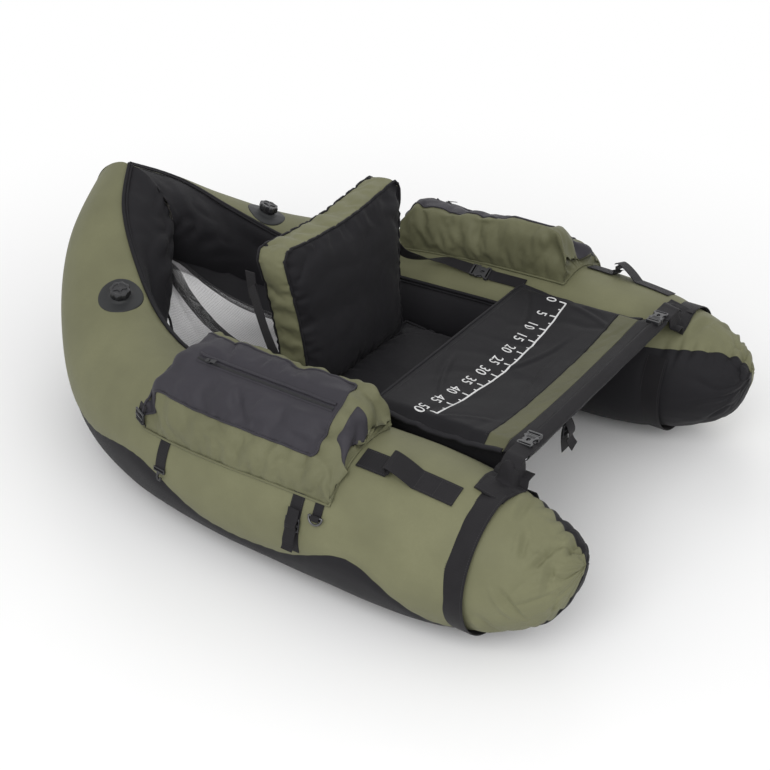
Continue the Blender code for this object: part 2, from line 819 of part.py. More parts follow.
def make_backrest():
    """An olive-edged core between two crowned black panels, on one hinge."""
    hinge = pivot("backrest_axis", back_hinge_point(), (BACK_LEAN * -1, 0, 0))
    front_room = BACK_PANEL_THICKNESS + BACK_CROWN
    upright = Matrix.Rotation(QUARTER, 4, "X")
    half_width = BACK_WIDTH / 2
    half_height = BACK_HEIGHT / 2
    panel = (BACK_PANEL_THICKNESS, BACK_CROWN, BACK_DRAW_IN, 8, 6, BACK_TAPER)
    core = pillow(
        half_width, half_height, BACK_CORE_THICKNESS, 0.0, BACK_DRAW_IN, 8, 6, BACK_TAPER
    )
    front = pillow(half_width, half_height, *panel)
    rear = pillow(half_width, half_height, *panel)
    middle = BACK_HEIGHT / 2
    turn_round = Matrix.Rotation(HALF, 4, "Z")
    for bm, name, finish, depth, matrix in (
        (core, "backrest_core", "olive_fabric", front_room + TOUCH + BACK_CORE_THICKNESS, upright),
        (front, "backrest_front_panel", "black_fabric", front_room, upright),
        (
            rear, "backrest_rear_panel", "black_fabric",
            front_room + BACK_CORE_THICKNESS + TOUCH * 2, turn_round @ upright,
        ),
    ):
        bmesh.ops.transform(bm, matrix=matrix, verts=bm.verts)
        bmesh.ops.translate(bm, vec=(0, depth, middle), verts=bm.verts)
        add_object(name, bm, finish, parent=hinge)


def back_to_world(point):
    """World place of a point given from the backrest's hinge."""
    lean = Matrix.Rotation(BACK_LEAN * -1, 4, "X")
    return back_hinge_point() + lean @ Vector(point)


def buckle_body():
    """Female half: a flat case with a mouth, side windows and a webbing slot."""
    bm = bmesh.new()
    add_box(bm, Vector((0, 0, BUCKLE_HEIGHT / 2)), (BUCKLE_LENGTH, BUCKLE_WIDTH, BUCKLE_HEIGHT))
    return bm


def buckle_cutter():
    """Cavity, windows and slot of the female half, as one cutter of three solids."""
    bm = bmesh.new()
    inner_width = BUCKLE_WIDTH - BUCKLE_WALL * 4
    inner_height = BUCKLE_HEIGHT - BUCKLE_WALL * 2
    mouth = BUCKLE_LENGTH / 2
    depth = BUCKLE_CAVITY_DEPTH + TOUCH * 10
    add_box(
        bm,
        Vector((mouth - BUCKLE_CAVITY_DEPTH / 2 + TOUCH * 5, 0, BUCKLE_HEIGHT / 2)),
        (depth, inner_width, inner_height),
    )
    add_box(
        bm,
        Vector((-BUCKLE_LENGTH / 2 + BUCKLE_SLOT, 0, BUCKLE_HEIGHT / 2)),
        (BUCKLE_SLOT, inner_width, BUCKLE_HEIGHT * 2),
    )
    return bm


def buckle_plug():
    """Male half: a tongue with two prongs on a head, resting home in the body."""
    bm = bmesh.new()
    inner_width = BUCKLE_WIDTH - BUCKLE_WALL * 4 - PLUG_CLEARANCE * 2
    inner_height = BUCKLE_HEIGHT - BUCKLE_WALL * 2 - PLUG_CLEARANCE * 2
    mouth = BUCKLE_LENGTH / 2
    tongue = BUCKLE_CAVITY_DEPTH - PLUG_CLEARANCE * 2
    head = mouth + PLUG_CLEARANCE
    prong = inner_width / 5
    half_width = inner_width / 2
    outline = (
        (head + PLUG_HEAD_LENGTH, -BUCKLE_WIDTH / 2), (head + PLUG_HEAD_LENGTH, BUCKLE_WIDTH / 2),
        (head, BUCKLE_WIDTH / 2), (head, half_width), (mouth - tongue, half_width),
        (mouth - tongue, half_width - prong), (head - prong, half_width - prong),
        (head - prong, prong / 2), (mouth - tongue, prong / 2),
        (mouth - tongue, -prong / 2), (head - prong, -prong / 2),
        (head - prong, prong - half_width), (mouth - tongue, prong - half_width),
        (mouth - tongue, -half_width), (head, -half_width), (head, -BUCKLE_WIDTH / 2),
    )
    low = (BUCKLE_HEIGHT - inner_height) / 2
    base = [bm.verts.new((x, y, low)) for x, y in outline]
    face = bm.faces.new(base)
    result = bmesh.ops.extrude_face_region(bm, geom=[face])
    lifted = [g for g in result["geom"] if isinstance(g, bmesh.types.BMVert)]
    bmesh.ops.translate(bm, vec=(0, 0, inner_height), verts=lifted)
    return bm


def frame_matrix(origin, forward, up):
    """Axes with X forward and Z up, set at an origin."""
    x_axis = Vector(forward).normalized()
    z_axis = Vector(up)
    z_axis = (z_axis - x_axis * z_axis.dot(x_axis)).normalized()
    y_axis = z_axis.cross(x_axis)
    matrix = Matrix((x_axis, y_axis, z_axis)).transposed().to_4x4()
    return Matrix.Translation(origin) @ matrix


def make_buckle(name, matrix):
    """Both halves of a side-release buckle, closed; the plug leaves along +X."""
    axis = pivot(name + "_axis", matrix.to_translation(), matrix.to_euler())
    body = add_object(
        name + "_body", buckle_body(), "buckle_plastic", smooth=False, parent=axis
    )
    cut(body, add_cutter(name + "_cutter", buckle_cutter(), parent=axis))
    add_object(name + "_plug", buckle_plug(), "buckle_plastic", smooth=False, parent=axis)


def back_buckle_frame(side):
    """Axes of the strap's buckle, flat on the pontoon; its plug leaves along X."""
    place = place_at(share_to_y(BACK_BUCKLE_SHARE))
    centre, _, _ = hull_frame(place)
    centre.x *= side
    seat = hull_point(place, BACK_BUCKLE_TURN, SKIN_LIFT, side)
    return frame_matrix(seat, (0, 1, 0), seat - centre)


def back_strap_start(side):
    """Where the strap is sewn to the backrest's side below its top."""
    depth = BACK_PANEL_THICKNESS + BACK_CROWN + BACK_CORE_THICKNESS * BACK_STRAP_DEPTH_SHARE
    outside = BACK_WIDTH / 2 + SKIN_LIFT
    point = back_to_world((outside, depth, BACK_HEIGHT * BACK_STRAP_HEIGHT_SHARE))
    point.x *= side
    return point


def make_back_strap(side_name, side):
    """The strap that holds the backrest up, from the buckle's plug to its side."""
    matrix = back_buckle_frame(side)
    make_buckle(side_name + "_back_buckle", matrix)
    plug_reach = BUCKLE_LENGTH / 2 + PLUG_HEAD_LENGTH + PLUG_CLEARANCE + TOUCH
    level = (BUCKLE_HEIGHT - WEBBING_THICKNESS) / 2
    first = matrix @ Vector((plug_reach, 0, level))
    knee = matrix @ Vector((plug_reach + BACK_STRAP_KNEE, 0, level))
    last = back_strap_start(side)
    climb = (last - knee).normalized()
    flat = matrix.to_3x3() @ Vector((0, 1, 0)) * -1
    upright = Vector((side, 0, 0)).cross(climb) * side
    steps = 12
    points = []
    across = []
    normals = []
    for step in range(steps + 1):
        share = step / steps
        points.append(first.lerp(knee, share).lerp(knee.lerp(last, share), share))
        across.append(flat.lerp(upright, share ** 2))
    for index, side_vector in enumerate(across):
        run = points[min(index + 1, steps)] - points[max(index - 1, 0)]
        normals.append(side_vector.cross(run))
    bm = bmesh.new()
    ribbon(bm, points, across, normals, BACK_STRAP_WIDTH, WEBBING_THICKNESS)
    add_object(side_name + "_back_strap", bm, "webbing")


def apron_point(x, y):
    """A point of the apron's underside, which drapes onto the pontoons at its sides."""
    bar = share_to_y(BAR_SHARE)
    rear = share_to_y(APRON_REAR_SHARE)
    share = (y - bar) / (rear - bar)
    level = BAR_HEIGHT + (APRON_REAR_HEIGHT - BAR_HEIGHT) * share
    across = min(abs(x) / APRON_HALF_WIDTH, 1) ** 2
    level -= APRON_DROP * (1 - across) * 4 * share * (1 - share)
    beyond = abs(x) - APRON_HALF_WIDTH
    if beyond > 0:
        ground = skin_height(abs(x), y) + SEW_ALLOWANCE
        level += (ground - level) * beyond / APRON_EDGE_WIDTH
    return Vector((x, y, level))


def apron_sheet(front, rear, rows):
    """One panel of the apron between two y places."""
    flat = APRON_HALF_WIDTH
    edge = flat + APRON_EDGE_WIDTH
    xs = piecewise((-edge, -flat, flat, edge), (1, 6, 1))
    lower = [[apron_point(x, y) for x in xs] for y in spread_values(front, rear, rows)]
    lift = Vector((0, 0, APRON_THICKNESS))
    upper = [[point + lift for point in row] for row in lower]
    return grid_shell(upper, lower)


def apron_seam_ys():
    """The apron's seams from the sleeve to its rear edge."""
    sleeve = share_to_y(BAR_SHARE) + BAR_RADIUS + SLEEVE_THICKNESS + SKIN_LIFT
    hem = sleeve + APRON_HEM_WIDTH
    return sleeve, hem, hem + APRON_BAND_WIDTH, share_to_y(APRON_REAR_SHARE)


def make_apron():
    """The stripping apron: a hem on the bar, then a band and a panel that fold up."""
    sleeve, hem, band, rear = apron_seam_ys()
    hinge = Vector((0, hem, apron_point(APRON_HALF_WIDTH, hem).z + APRON_THICKNESS))
    axis = pivot("apron_axis", hinge)
    add_object("apron_hem", apron_sheet(sleeve, hem - TOUCH / 2, 1), "webbing")
    for name, front, back, finish, rows in (
        ("apron_band", hem + TOUCH / 2, band - TOUCH, "olive_fabric", 2),
        ("apron_panel", band, rear, "black_fabric", 8),
    ):
        bm = apron_sheet(front, back, rows)
        bmesh.ops.translate(bm, vec=hinge * -1, verts=bm.verts)
        add_object(name, bm, finish, parent=axis)


def bar_tube():
    """The stiff round bar, open at both ends."""
    profile = (
        (BAR_RADIUS, -BAR_HALF_LENGTH), (BAR_RADIUS, BAR_HALF_LENGTH),
        (BAR_RADIUS - BAR_WALL, BAR_HALF_LENGTH), (BAR_RADIUS - BAR_WALL, -BAR_HALF_LENGTH),
    )
    bm = turned(profile, 16)
    bmesh.ops.rotate(bm, matrix=Matrix.Rotation(QUARTER, 3, "Y"), verts=bm.verts)
    return bm


def bar_sleeve():
    """The fabric sleeve round the bar."""
    grids = []
    inner = BAR_RADIUS + TOUCH * 2
    for reach in (inner + SLEEVE_THICKNESS, inner):
        grid = []
        for x in spread_values(-SLEEVE_HALF_LENGTH, SLEEVE_HALF_LENGTH, 4):
            ring = []
            for step in range(16):
                angle = FULL * step / 16
                ring.append(Vector((x, reach * math.cos(angle), reach * math.sin(angle))))
            grid.append(ring)
        grids.append(grid)
    return grid_shell(*grids, closed_ring=True)


def make_bar():
    """The front bar in its sleeve."""
    location = (0, share_to_y(BAR_SHARE), BAR_HEIGHT)
    tube = add_object("front_bar_tube", bar_tube(), "bar_metal")
    tube.location = location
    sleeve = add_object("front_bar_sleeve", bar_sleeve(), "black_fabric")
    sleeve.location = location


def make_bar_pocket(side_name, side):
    """The sewn pocket on the pontoon that holds one end of the bar."""
    bar = share_to_y(BAR_SHARE)
    inner = BAR_RADIUS + TOUCH
    outer = inner + BAR_POCKET_THICKNESS
    start = SLEEVE_HALF_LENGTH + TOUCH * 2
    end = start + BAR_POCKET_LENGTH
    stop = BAR_HALF_LENGTH + TOUCH * 2
    xs = piecewise((start, stop, end), (3, 4))
    offsets = spread_values(-BAR_POCKET_WIDTH / 2, BAR_POCKET_WIDTH / 2, 10)
    grids = [[], []]
    for x in xs:
        top_row = []
        low_row = []
        for offset in offsets:
            y = bar + offset
            ground = skin_height(x, y) + SEW_ALLOWANCE
            over = BAR_HEIGHT + math.sqrt(max(outer ** 2 - offset ** 2, 0))
            fade = 1 if x <= stop else (end - x) / (end - stop)
            drape = ground + (over - ground) * fade * max(0, 1 - (offset / outer) ** 2 / 4)
            crown = max(ground + BAR_POCKET_THICKNESS, drape)
            top_row.append(Vector((x * side, y, crown)))
            low_row.append(Vector((x * side, y, ground)))
        grids[0].append(top_row)
        grids[1].append(low_row)
    bm = grid_shell(*grids)
    item = add_object(side_name + "_bar_pocket", bm, "black_fabric")
    cutter = cylinder(inner, start - TOUCH * 10, stop, 16)
    bmesh.ops.rotate(cutter, matrix=Matrix.Rotation(QUARTER * side, 3, "Y"), verts=cutter.verts)
    hole = add_cutter(side_name + "_bar_hole", cutter)
    hole.location = (0, bar, BAR_HEIGHT)
    cut(item, hole)


def make_bar_buckle(side_name, side):
    """The buckle on top of the sleeve that holds one end of the bar."""
    bar = share_to_y(BAR_SHARE)
    top = BAR_HEIGHT + BAR_RADIUS + TOUCH * 2 + SLEEVE_THICKNESS + TOUCH
    x = side * (SLEEVE_HALF_LENGTH - BUCKLE_LENGTH / 2)
    matrix = frame_matrix(Vector((x, bar, top)), (-side, 0, 0), (0, 0, 1))
    make_buckle(side_name + "_bar_buckle", matrix)


def make_hanging_strap():
    """The webbing tail with its small buckle that hangs under the middle of the bar."""
    bar = share_to_y(BAR_SHARE)
    x = HALF_SPREAD * HANG_OFFSET_SHARE
    top = BAR_HEIGHT - BAR_RADIUS - TOUCH * 3 - SLEEVE_THICKNESS
    drop = HANG_STRAP_DROP
    points = [Vector((x, bar, top - drop * step / 6)) for step in range(7)]
    for step, point in enumerate(points):
        point.y += HANG_STRAP_SWAY * math.sin(HALF * step / 6)
    across = [Vector((1, 0, 0))] * len(points)
    normals = [Vector((0, 1, 0))] * len(points)
    bm = bmesh.new()
    ribbon(bm, points, across, normals, HANG_STRAP_WIDTH, WEBBING_THICKNESS)
    add_object("hanging_strap", bm, "webbing")
    place = Vector((x, min(p.y for p in points[1:4]) - LOCK_HEIGHT - SKIN_LIFT, points[2].z))
    make_lock("hanging_buckle", frame_matrix(place, (0, 0, -1), (0, 1, 0)))


def make_lock(name, matrix):
    """A ladder lock: a flat plate with two slots that webbing threads through."""
    axis = pivot(name + "_axis", matrix.to_translation(), matrix.to_euler())
    bm = bmesh.new()
    add_box(bm, Vector((0, 0, LOCK_HEIGHT / 2)), (LOCK_LENGTH, LOCK_WIDTH, LOCK_HEIGHT))
    item = add_object(name, bm, "buckle_plastic", smooth=False, parent=axis)
    slots = bmesh.new()
    slot = (LOCK_LENGTH - LOCK_RAIL * 3) / 2
    for place in (-1, 1):
        centre = Vector((place * (slot + LOCK_RAIL) / 2, 0, LOCK_HEIGHT / 2))
        add_box(slots, centre, (slot, LOCK_WIDTH - LOCK_RAIL, LOCK_HEIGHT * 2))
    cut(item, add_cutter(name + "_slots", slots, parent=axis))


def loft(rings):
    """A closed solid through rings of points, capped at both ends."""
    bm = bmesh.new()
    loops = [[bm.verts.new(point) for point in ring] for ring in rings]
    count = len(loops[0])
    for first, second in zip(loops, loops[1:]):
        for j in range(count):
            k = (j + 1) % count
            bm.faces.new([first[j], first[k], second[k], second[j]])
    bm.faces.new(loops[0])
    bm.faces.new(loops[-1])
    return bm


def bag_top(side):
    """Inner and outer top edges of a bag as x and z."""
    inner = Vector((side * (HALF_SPREAD - BAG_INNER_OFFSET), 0, BAG_INNER_HEIGHT))
    outer = Vector((side * (HALF_SPREAD + BAG_OUTER_OFFSET), 0, BAG_OUTER_HEIGHT))
    return inner, outer


def bag_lid_point(side, share, lift=0.0):
    """A point across a bag's crowned top from its inner to its outer edge, at y = 0."""
    inner, outer = bag_top(side)
    slope = outer - inner
    normal = Vector((-slope.z, 0, slope.x)) * side
    rise = BAG_CROWN * 4 * share * (1 - share) + lift
    return inner.lerp(outer, share) + normal.normalized() * rise


def bag_section(side, y, fullness):
    """The outline of a bag at one place: along the pontoon, then over the top."""
    turns = spread_values(BAG_OUTER_TURN, BAG_INNER_TURN, 12)
    ring = [skin_point(y, turn, BAG_CLEARANCE, side) for turn in turns]
    inner, outer = bag_top(side)
    down = Vector((0, 0, BAG_SHOULDER))
    away = Vector((side * BAG_SHOULDER / 2, 0, 0))
    corners = [(inner - down - away, 0.0)]
    corners += [(bag_lid_point(side, s), s) for s in spread_values(0.0, 1.0, BAG_LID_STEPS)]
    corners.append((outer - down + away, 1.0))
    for corner, share in corners:
        turn = BAG_INNER_TURN + (BAG_OUTER_TURN - BAG_INNER_TURN) * share
        low = skin_point(y, turn, BAG_CLEARANCE, side) + Vector((0, 0, BAG_END_HEIGHT))
        full = Vector((corner.x, y, corner.z))
        ring.append(low.lerp(full, fullness))
    return ring


def bag_ys():
    """Where a bag starts, reaches its full height, leaves it and ends."""
    front = share_to_y(BAG_FRONT_SHARE)
    rear = share_to_y(BAG_REAR_SHARE)
    return front, front + BAG_NOSE_LENGTH, rear - BAG_HEEL_LENGTH, rear


def make_bag(side_name, side):
    """A stuffed cargo bag, its zipped lid and the zip's pull."""
    front, nose, heel, rear = bag_ys()
    places = [(front, 0.0), (front + (nose - front) / 2, BAG_NOSE_FULLNESS), (nose, 1.0)]
    places += [(y, 1.0) for y in spread_values(nose, heel, 7)[1:]]
    places.append((rear, BAG_END_FULLNESS))
    rings = [bag_section(side, y, fullness) for y, fullness in places]
    add_object(side_name + "_bag_body", loft(rings), "olive_fabric")
    grids = []
    for lift in (SKIN_LIFT + BAG_LID_THICKNESS, SKIN_LIFT):
        profile = [bag_lid_point(side, s, lift) for s in spread_values(0.0, 1.0, BAG_LID_STEPS)]
        grids.append([[Vector((p.x, y, p.z)) for p in profile] for y in (nose, heel)])
    add_object(side_name + "_bag_lid", grid_shell(*grids), "black_fabric")
    before, after = (bag_lid_point(side, s) for s in (ZIP_SHARE - 1 / 10, ZIP_SHARE + 1 / 10))
    normal = Vector((-(after - before).z, 0, (after - before).x)) * side
    start = bag_lid_point(side, ZIP_SHARE, SKIN_LIFT + BAG_LID_THICKNESS)
    start.y = heel - ZIP_MARGIN
    axis_frame = frame_matrix(start, (0, -1, 0), normal)
    axis = pivot(side_name + "_zip_axis", start, axis_frame.to_euler())
    bm = bmesh.new()
    half = ZIP_PULL_LENGTH / 2
    outline = ((-half, 1 / 3), (-half / 2, 1 / 2), (half / 2, 1 / 2), (half, 1 / 4))
    corners = [(x, share * ZIP_PULL_WIDTH) for x, share in outline]
    corners += [(x, -share * ZIP_PULL_WIDTH) for x, share in reversed(outline)]
    rings = [[Vector((x, y, z)) for x, y in corners] for z in (0.0, ZIP_PULL_HEIGHT)]
    add_object(side_name + "_zip_pull", loft(rings), "buckle_plastic", smooth=False, parent=axis)


def hull_axes(y, turn, lift, side):
    """Axes on the pontoon's skin: X runs down round it and Z stands off it."""
    place = place_at(y)
    centre, _, _ = hull_frame(place)
    centre.x *= side
    origin = hull_point(place, turn, lift, side)
    down = hull_point(place, turn - SKIN_LIFT, lift, side) - origin
    return frame_matrix(origin, down, origin - centre)


def make_bag_webbing(side_name, side):
    """The straps from a bag down the pontoon, the front one's lock and the ring's tab."""
    for name, share in (("_front", BAG_STRAP_FRONT_SHARE), ("_rear", BAG_STRAP_REAR_SHARE)):
        y = share_to_y(share)
        half = BAG_WEBBING_WIDTH / 2
        places = [place_at(y - half), place_at(y + half)]
        turns = spread_values(BAG_OUTER_TURN - seam_room(), BAG_STRAP_LOW_TURN, 7)
        strap = hull_strip(side, places, turns, SKIN_LIFT, WEBBING_THICKNESS)
        add_object(side_name + "_bag" + name + "_strap", strap, "webbing")
    lift = SKIN_LIFT * 2 + WEBBING_THICKNESS
    matrix = hull_axes(share_to_y(BAG_STRAP_FRONT_SHARE), BAG_LOCK_TURN, lift, side)
    make_lock(side_name + "_bag_lock", matrix)
    y = share_to_y(RING_TAB_SHARE)
    half = RING_TAB_WIDTH / 2
    places = [place_at(y - half), place_at(y + half)]
    start = BAG_OUTER_TURN - seam_room()
    stop = start - RING_TAB_LENGTH / TUBE_RADIUS
    tab = hull_strip(side, places, spread_values(start, stop, 5), SKIN_LIFT, WEBBING_THICKNESS)
    add_object(side_name + "_ring_tab", tab, "webbing")
    make_ring(side_name, side, y, stop)


def seam_room():
    """The turn kept free between a bag's edge and the webbing below it."""
    return SEW_ALLOWANCE * 3 / TUBE_RADIUS


def make_ring(side_name, side, y, turn):
    """The D-ring that hangs from its tab."""
    lift = SKIN_LIFT * 2 + WEBBING_THICKNESS + RING_ROD
    matrix = hull_axes(y, turn + RING_ROD * 3 / TUBE_RADIUS, lift, side)
    axis = pivot(side_name + "_ring_axis", matrix.to_translation(), matrix.to_euler())
    bm = bmesh.new()
    path = []
    for step in range(9):
        angle = -QUARTER + HALF * step / 8
        path.append((RING_RADIUS * math.cos(angle), RING_RADIUS * math.sin(angle)))
    path += [(0, RING_RADIUS / 2), (0, -RING_RADIUS / 2)]
    loops = []
    for index, (x, y_place) in enumerate(path):
        before = Vector((*path[index - 1], 0))
        after = Vector((*path[(index + 1) % len(path)], 0))
        run = (after - before).normalized()
        outward = Vector((run.y, -run.x, 0))
        loop = []
        for step in range(6):
            angle = FULL * step / 6
            spoke = outward * math.cos(angle) + Vector((0, 0, 1)) * math.sin(angle)
            loop.append(bm.verts.new(Vector((x, y_place, 0)) + spoke * RING_ROD))
        loops.append(loop)
    for first, second in zip(loops, loops[1:] + loops[:1]):
        for j in range(6):
            k = (j + 1) % 6
            bm.faces.new([first[j], first[k], second[k], second[j]])
    add_object(side_name + "_d_ring", bm, "bar_metal", parent=axis)


def make_rod_strap(side_name, side):
    """The sewn strap on top of the pontoon, with one raised loop for a rod."""
    start = share_to_y(BAG_FRONT_SHARE) - SEW_ALLOWANCE * 2
    loop_middle = start - ROD_STRAP_LENGTH * ROD_LOOP_SHARE
    steps = 26
    points = []
    across = []
    normals = []
    for step in range(steps + 1):
        y = start - ROD_STRAP_LENGTH * step / steps
        offset = (y - loop_middle) / (ROD_LOOP_LENGTH / 2)
        hump = ROD_LOOP_HEIGHT * (1 + math.cos(HALF * offset)) / 2 if abs(offset) < 1 else 0
        place = place_at(y)
        base = hull_point(place, ROD_STRAP_TURN, TOUCH, side)
        above = hull_point(place, ROD_STRAP_TURN, TUBE_RADIUS, side)
        normal = (above - base).normalized()
        points.append(base + normal * hump)
        across.append(Vector((0, 1, 0)).cross(normal))
        normals.append(normal)
    bm = bmesh.new()
    ribbon(bm, points, across, normals, ROD_STRAP_WIDTH, WEBBING_THICKNESS)
    add_object(side_name + "_rod_strap", bm, "webbing")


def net_point(u, y, walls):
    """A point on the net's upper face: creased along the middle, sewn to the walls."""
    front = share_to_y(NET_FRONT_SHARE)
    rear = share_to_y(NET_REAR_SHARE)
    share = (y - front) / (rear - front)
    level = NET_FRONT_HEIGHT + (NET_REAR_HEIGHT - NET_FRONT_HEIGHT) * share ** 2
    level += NET_SIDE_RISE * abs(u)
    room = walls.half_width(y, level) - NET_WALL_GAP
    return Vector((u * room, y, level))


def make_net(walls):
    """The cargo net as a thin sheet with one square gap in every cell."""
    front = share_to_y(NET_FRONT_SHARE)
    rear = share_to_y(NET_REAR_SHARE)
    us = spread_values(-1.0, 1.0, NET_COLUMNS)
    ys = spread_values(front, rear, NET_ROWS)
    grid = [[net_point(u, y, walls) for u in us] for y in ys]
    bm = bmesh.new()
    drop = Vector((0, 0, -NET_THICKNESS))
    layers = []
    for shift in (Vector(), drop):
        corners = [[bm.verts.new(point + shift) for point in row] for row in grid]
        holes = []
        for i in range(NET_ROWS):
            row = []
            for j in range(NET_COLUMNS):
                cell = (grid[i][j], grid[i][j + 1], grid[i + 1][j + 1], grid[i + 1][j])
                middle = sum(cell, Vector()) / 4
                row.append([
                    bm.verts.new(p.lerp(middle, NET_CORD_SHARE) + shift) for p in cell
                ])
            holes.append(row)
        layers.append((corners, holes))
    for (corners, holes), flip in zip(layers, (False, True)):
        for i in range(NET_ROWS):
            for j in range(NET_COLUMNS):
                cell = (corners[i][j], corners[i][j + 1], corners[i + 1][j + 1], corners[i + 1][j])
                hole = holes[i][j]
                for k in range(4):
                    m = (k + 1) % 4
                    quad = [cell[k], cell[m], hole[m], hole[k]]
                    bm.faces.new(quad[::-1] if flip else quad)
    top, low = layers
    for i in range(NET_ROWS):
        for j in range(NET_COLUMNS):
            for k in range(4):
                m = (k + 1) % 4
                above, below = top[1][i][j], low[1][i][j]
                bm.faces.new([above[k], above[m], below[m], below[k]])
    rim = [(0, j) for j in range(NET_COLUMNS)]
    rim += [(i, NET_COLUMNS) for i in range(NET_ROWS)]
    rim += [(NET_ROWS, NET_COLUMNS - j) for j in range(NET_COLUMNS)]
    rim += [(NET_ROWS - i, 0) for i in range(NET_ROWS)]
    for (i, j), (m, n) in zip(rim, rim[1:] + rim[:1]):
        bm.faces.new([top[0][i][j], top[0][m][n], low[0][m][n], low[0][i][j]])
    add_object("cargo_net", bm, "net_cord", smooth=False)


def build():
    """Make every piece of the float tube."""
    clear_scene()
    covers = {side_name: make_covers(side_name, side) for side_name, side in SIDES}
    bpy.context.view_layer.update()
    walls = Walls([cover for pair in covers.values() for cover in pair])
    for side_name, side in SIDES:
        bladder = make_bladder(side_name, side)
        make_valve(side_name, side, covers[side_name][0], bladder, walls)
        make_piping(side_name, side)
        make_tip_band(side_name, side)
    make_seat(walls)
    make_backrest()
    make_apron()
    make_bar()
    make_hanging_strap()
    make_net(walls)
    for side_name, side in SIDES:
        make_back_strap(side_name, side)
        make_bar_pocket(side_name, side)
        make_bar_buckle(side_name, side)
        make_bag(side_name, side)
        make_bag_webbing(side_name, side)
        make_rod_strap(side_name, side)


build()
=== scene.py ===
"""The looks of the float tube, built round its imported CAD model.

The camera stands where the photograph's stood. Every soft solid is replaced by a finer
piece in the same place, and each piece rides on the body that carries it. Units are
metres, +Z is up and +Y points to the bow. The left side is made, and the right one is
the same with x turned round.
"""
import math

import bpy
import numpy as np
from mathutils import Matrix, Vector, noise
from mathutils.bvhtree import BVHTree


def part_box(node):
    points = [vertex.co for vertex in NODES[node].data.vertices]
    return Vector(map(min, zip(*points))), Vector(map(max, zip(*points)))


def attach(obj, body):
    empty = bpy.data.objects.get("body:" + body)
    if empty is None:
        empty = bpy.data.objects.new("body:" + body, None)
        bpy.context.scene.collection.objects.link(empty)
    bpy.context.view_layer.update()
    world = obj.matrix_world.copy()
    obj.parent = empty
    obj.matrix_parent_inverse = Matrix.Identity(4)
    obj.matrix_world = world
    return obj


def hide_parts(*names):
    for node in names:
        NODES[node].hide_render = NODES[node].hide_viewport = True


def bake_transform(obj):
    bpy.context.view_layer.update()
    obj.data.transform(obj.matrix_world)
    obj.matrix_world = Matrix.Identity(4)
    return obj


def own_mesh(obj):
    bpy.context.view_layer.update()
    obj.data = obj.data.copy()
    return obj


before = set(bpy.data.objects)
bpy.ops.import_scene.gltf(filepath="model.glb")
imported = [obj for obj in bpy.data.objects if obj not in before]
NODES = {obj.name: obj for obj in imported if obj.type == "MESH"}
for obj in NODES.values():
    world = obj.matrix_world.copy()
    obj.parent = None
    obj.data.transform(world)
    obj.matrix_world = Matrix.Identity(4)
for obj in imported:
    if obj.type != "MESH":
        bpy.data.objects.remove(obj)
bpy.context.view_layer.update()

# Sizes that the CAD source states, repeated because it can't be read from here
LENGTH = 1.46
TUBE_RADIUS = 0.155
HALF_SPREAD = 0.392
TIP_RISE = 0.188
BOW_RISE = 0.240
STATION_SHARES = (
    (0.000, 0.940, 0.075, 1.000, 0.00),
    (0.017, 0.955, 0.350, 0.680, 0.00),
    (0.052, 0.978, 0.615, 0.370, 0.00),
    (0.105, 0.988, 0.820, 0.160, 0.00),
    (0.175, 0.990, 0.945, 0.045, 0.00),
    (0.272, 0.992, 0.998, 0.000, 0.00),
    (0.399, 0.998, 0.985, 0.000, 0.00),
    (0.519, 1.000, 0.950, 0.000, 0.02),
    (0.638, 0.962, 0.905, 0.000, 0.12),
    (0.750, 0.850, 0.880, 0.012, 0.28),
    (0.840, 0.688, 0.850, 0.138, 0.44),
    (0.914, 0.472, 0.820, 0.415, 0.60),
    (0.966, 0.250, 0.785, 0.745, 0.78),
    (1.000, 0.000, 0.762, 1.000, 1.00),
)
SEAM_SHARES = (
    (0.55, -0.36), (0.58, -0.37), (0.66, -0.38), (0.74, -0.36), (0.79, -0.20),
    (0.80, 0.012), (0.79, -0.11), (0.79, -0.107), (0.77, 0.05), (0.72, -0.02),
    (0.67, -0.12), (0.61, -0.13), (0.55, -0.13), (0.51, -0.13),
)
LAST = len(STATION_SHARES) - 1
QUARTER, HALF, FULL = math.pi / 2, math.pi, math.pi * 2
UP = Vector((0, 0, 1))
SIDES = (("left", 1), ("right", -1))


# ---- shapes shared with the CAD ----
def catmull_rom(rows, place):
    index = min(int(place), len(rows) - 2)
    step = place - index
    before = rows[max(index - 1, 0)]
    after = rows[min(index + 2, len(rows) - 1)]
    values = []
    for a, b, c, d in zip(before, rows[index], rows[index + 1], after):
        curve = 2 * b + (c - a) * step
        curve += (2 * a - 5 * b + 4 * c - d) * step ** 2
        curve += (3 * b - a - 3 * c + d) * step ** 3
        values.append(curve / 2)
    return values


def smooth_path(points, count):
    """A finer path through the same points, with count steps for each of theirs."""
    steps = (len(points) - 1) * count
    return [Vector(catmull_rom(points, i / count)) for i in range(steps + 1)]


def hull_frame(place):
    """Centre, outward direction and radius of the left pontoon at a place in rows."""
    run, spread, girth, rise, swing = catmull_rom(STATION_SHARES, place)
    radius = TUBE_RADIUS * max(girth, STATION_SHARES[0][2] / 2)
    lift = rise * (TIP_RISE if place < LAST / 2 else BOW_RISE)
    bow_radius = TUBE_RADIUS * STATION_SHARES[-1][2]
    centre = Vector((
        max(spread, 0) * HALF_SPREAD,
        run * (LENGTH - bow_radius) - LENGTH / 2,
        radius + max(lift, 0),
    ))
    angle = min(max(swing, 0), 1) * QUARTER
    return centre, Vector((math.cos(angle), math.sin(angle), 0)), radius


def hull_point(place, turn, lift=0.0, side=1):
    """A point over a pontoon: turn 0 is its outer side and a quarter turn its top."""
    centre, outward, radius = hull_frame(place)
    reach = radius + lift
    point = centre + outward * (reach * math.cos(turn))
    point.z += reach * math.sin(turn)
    point.x *= side
    return point


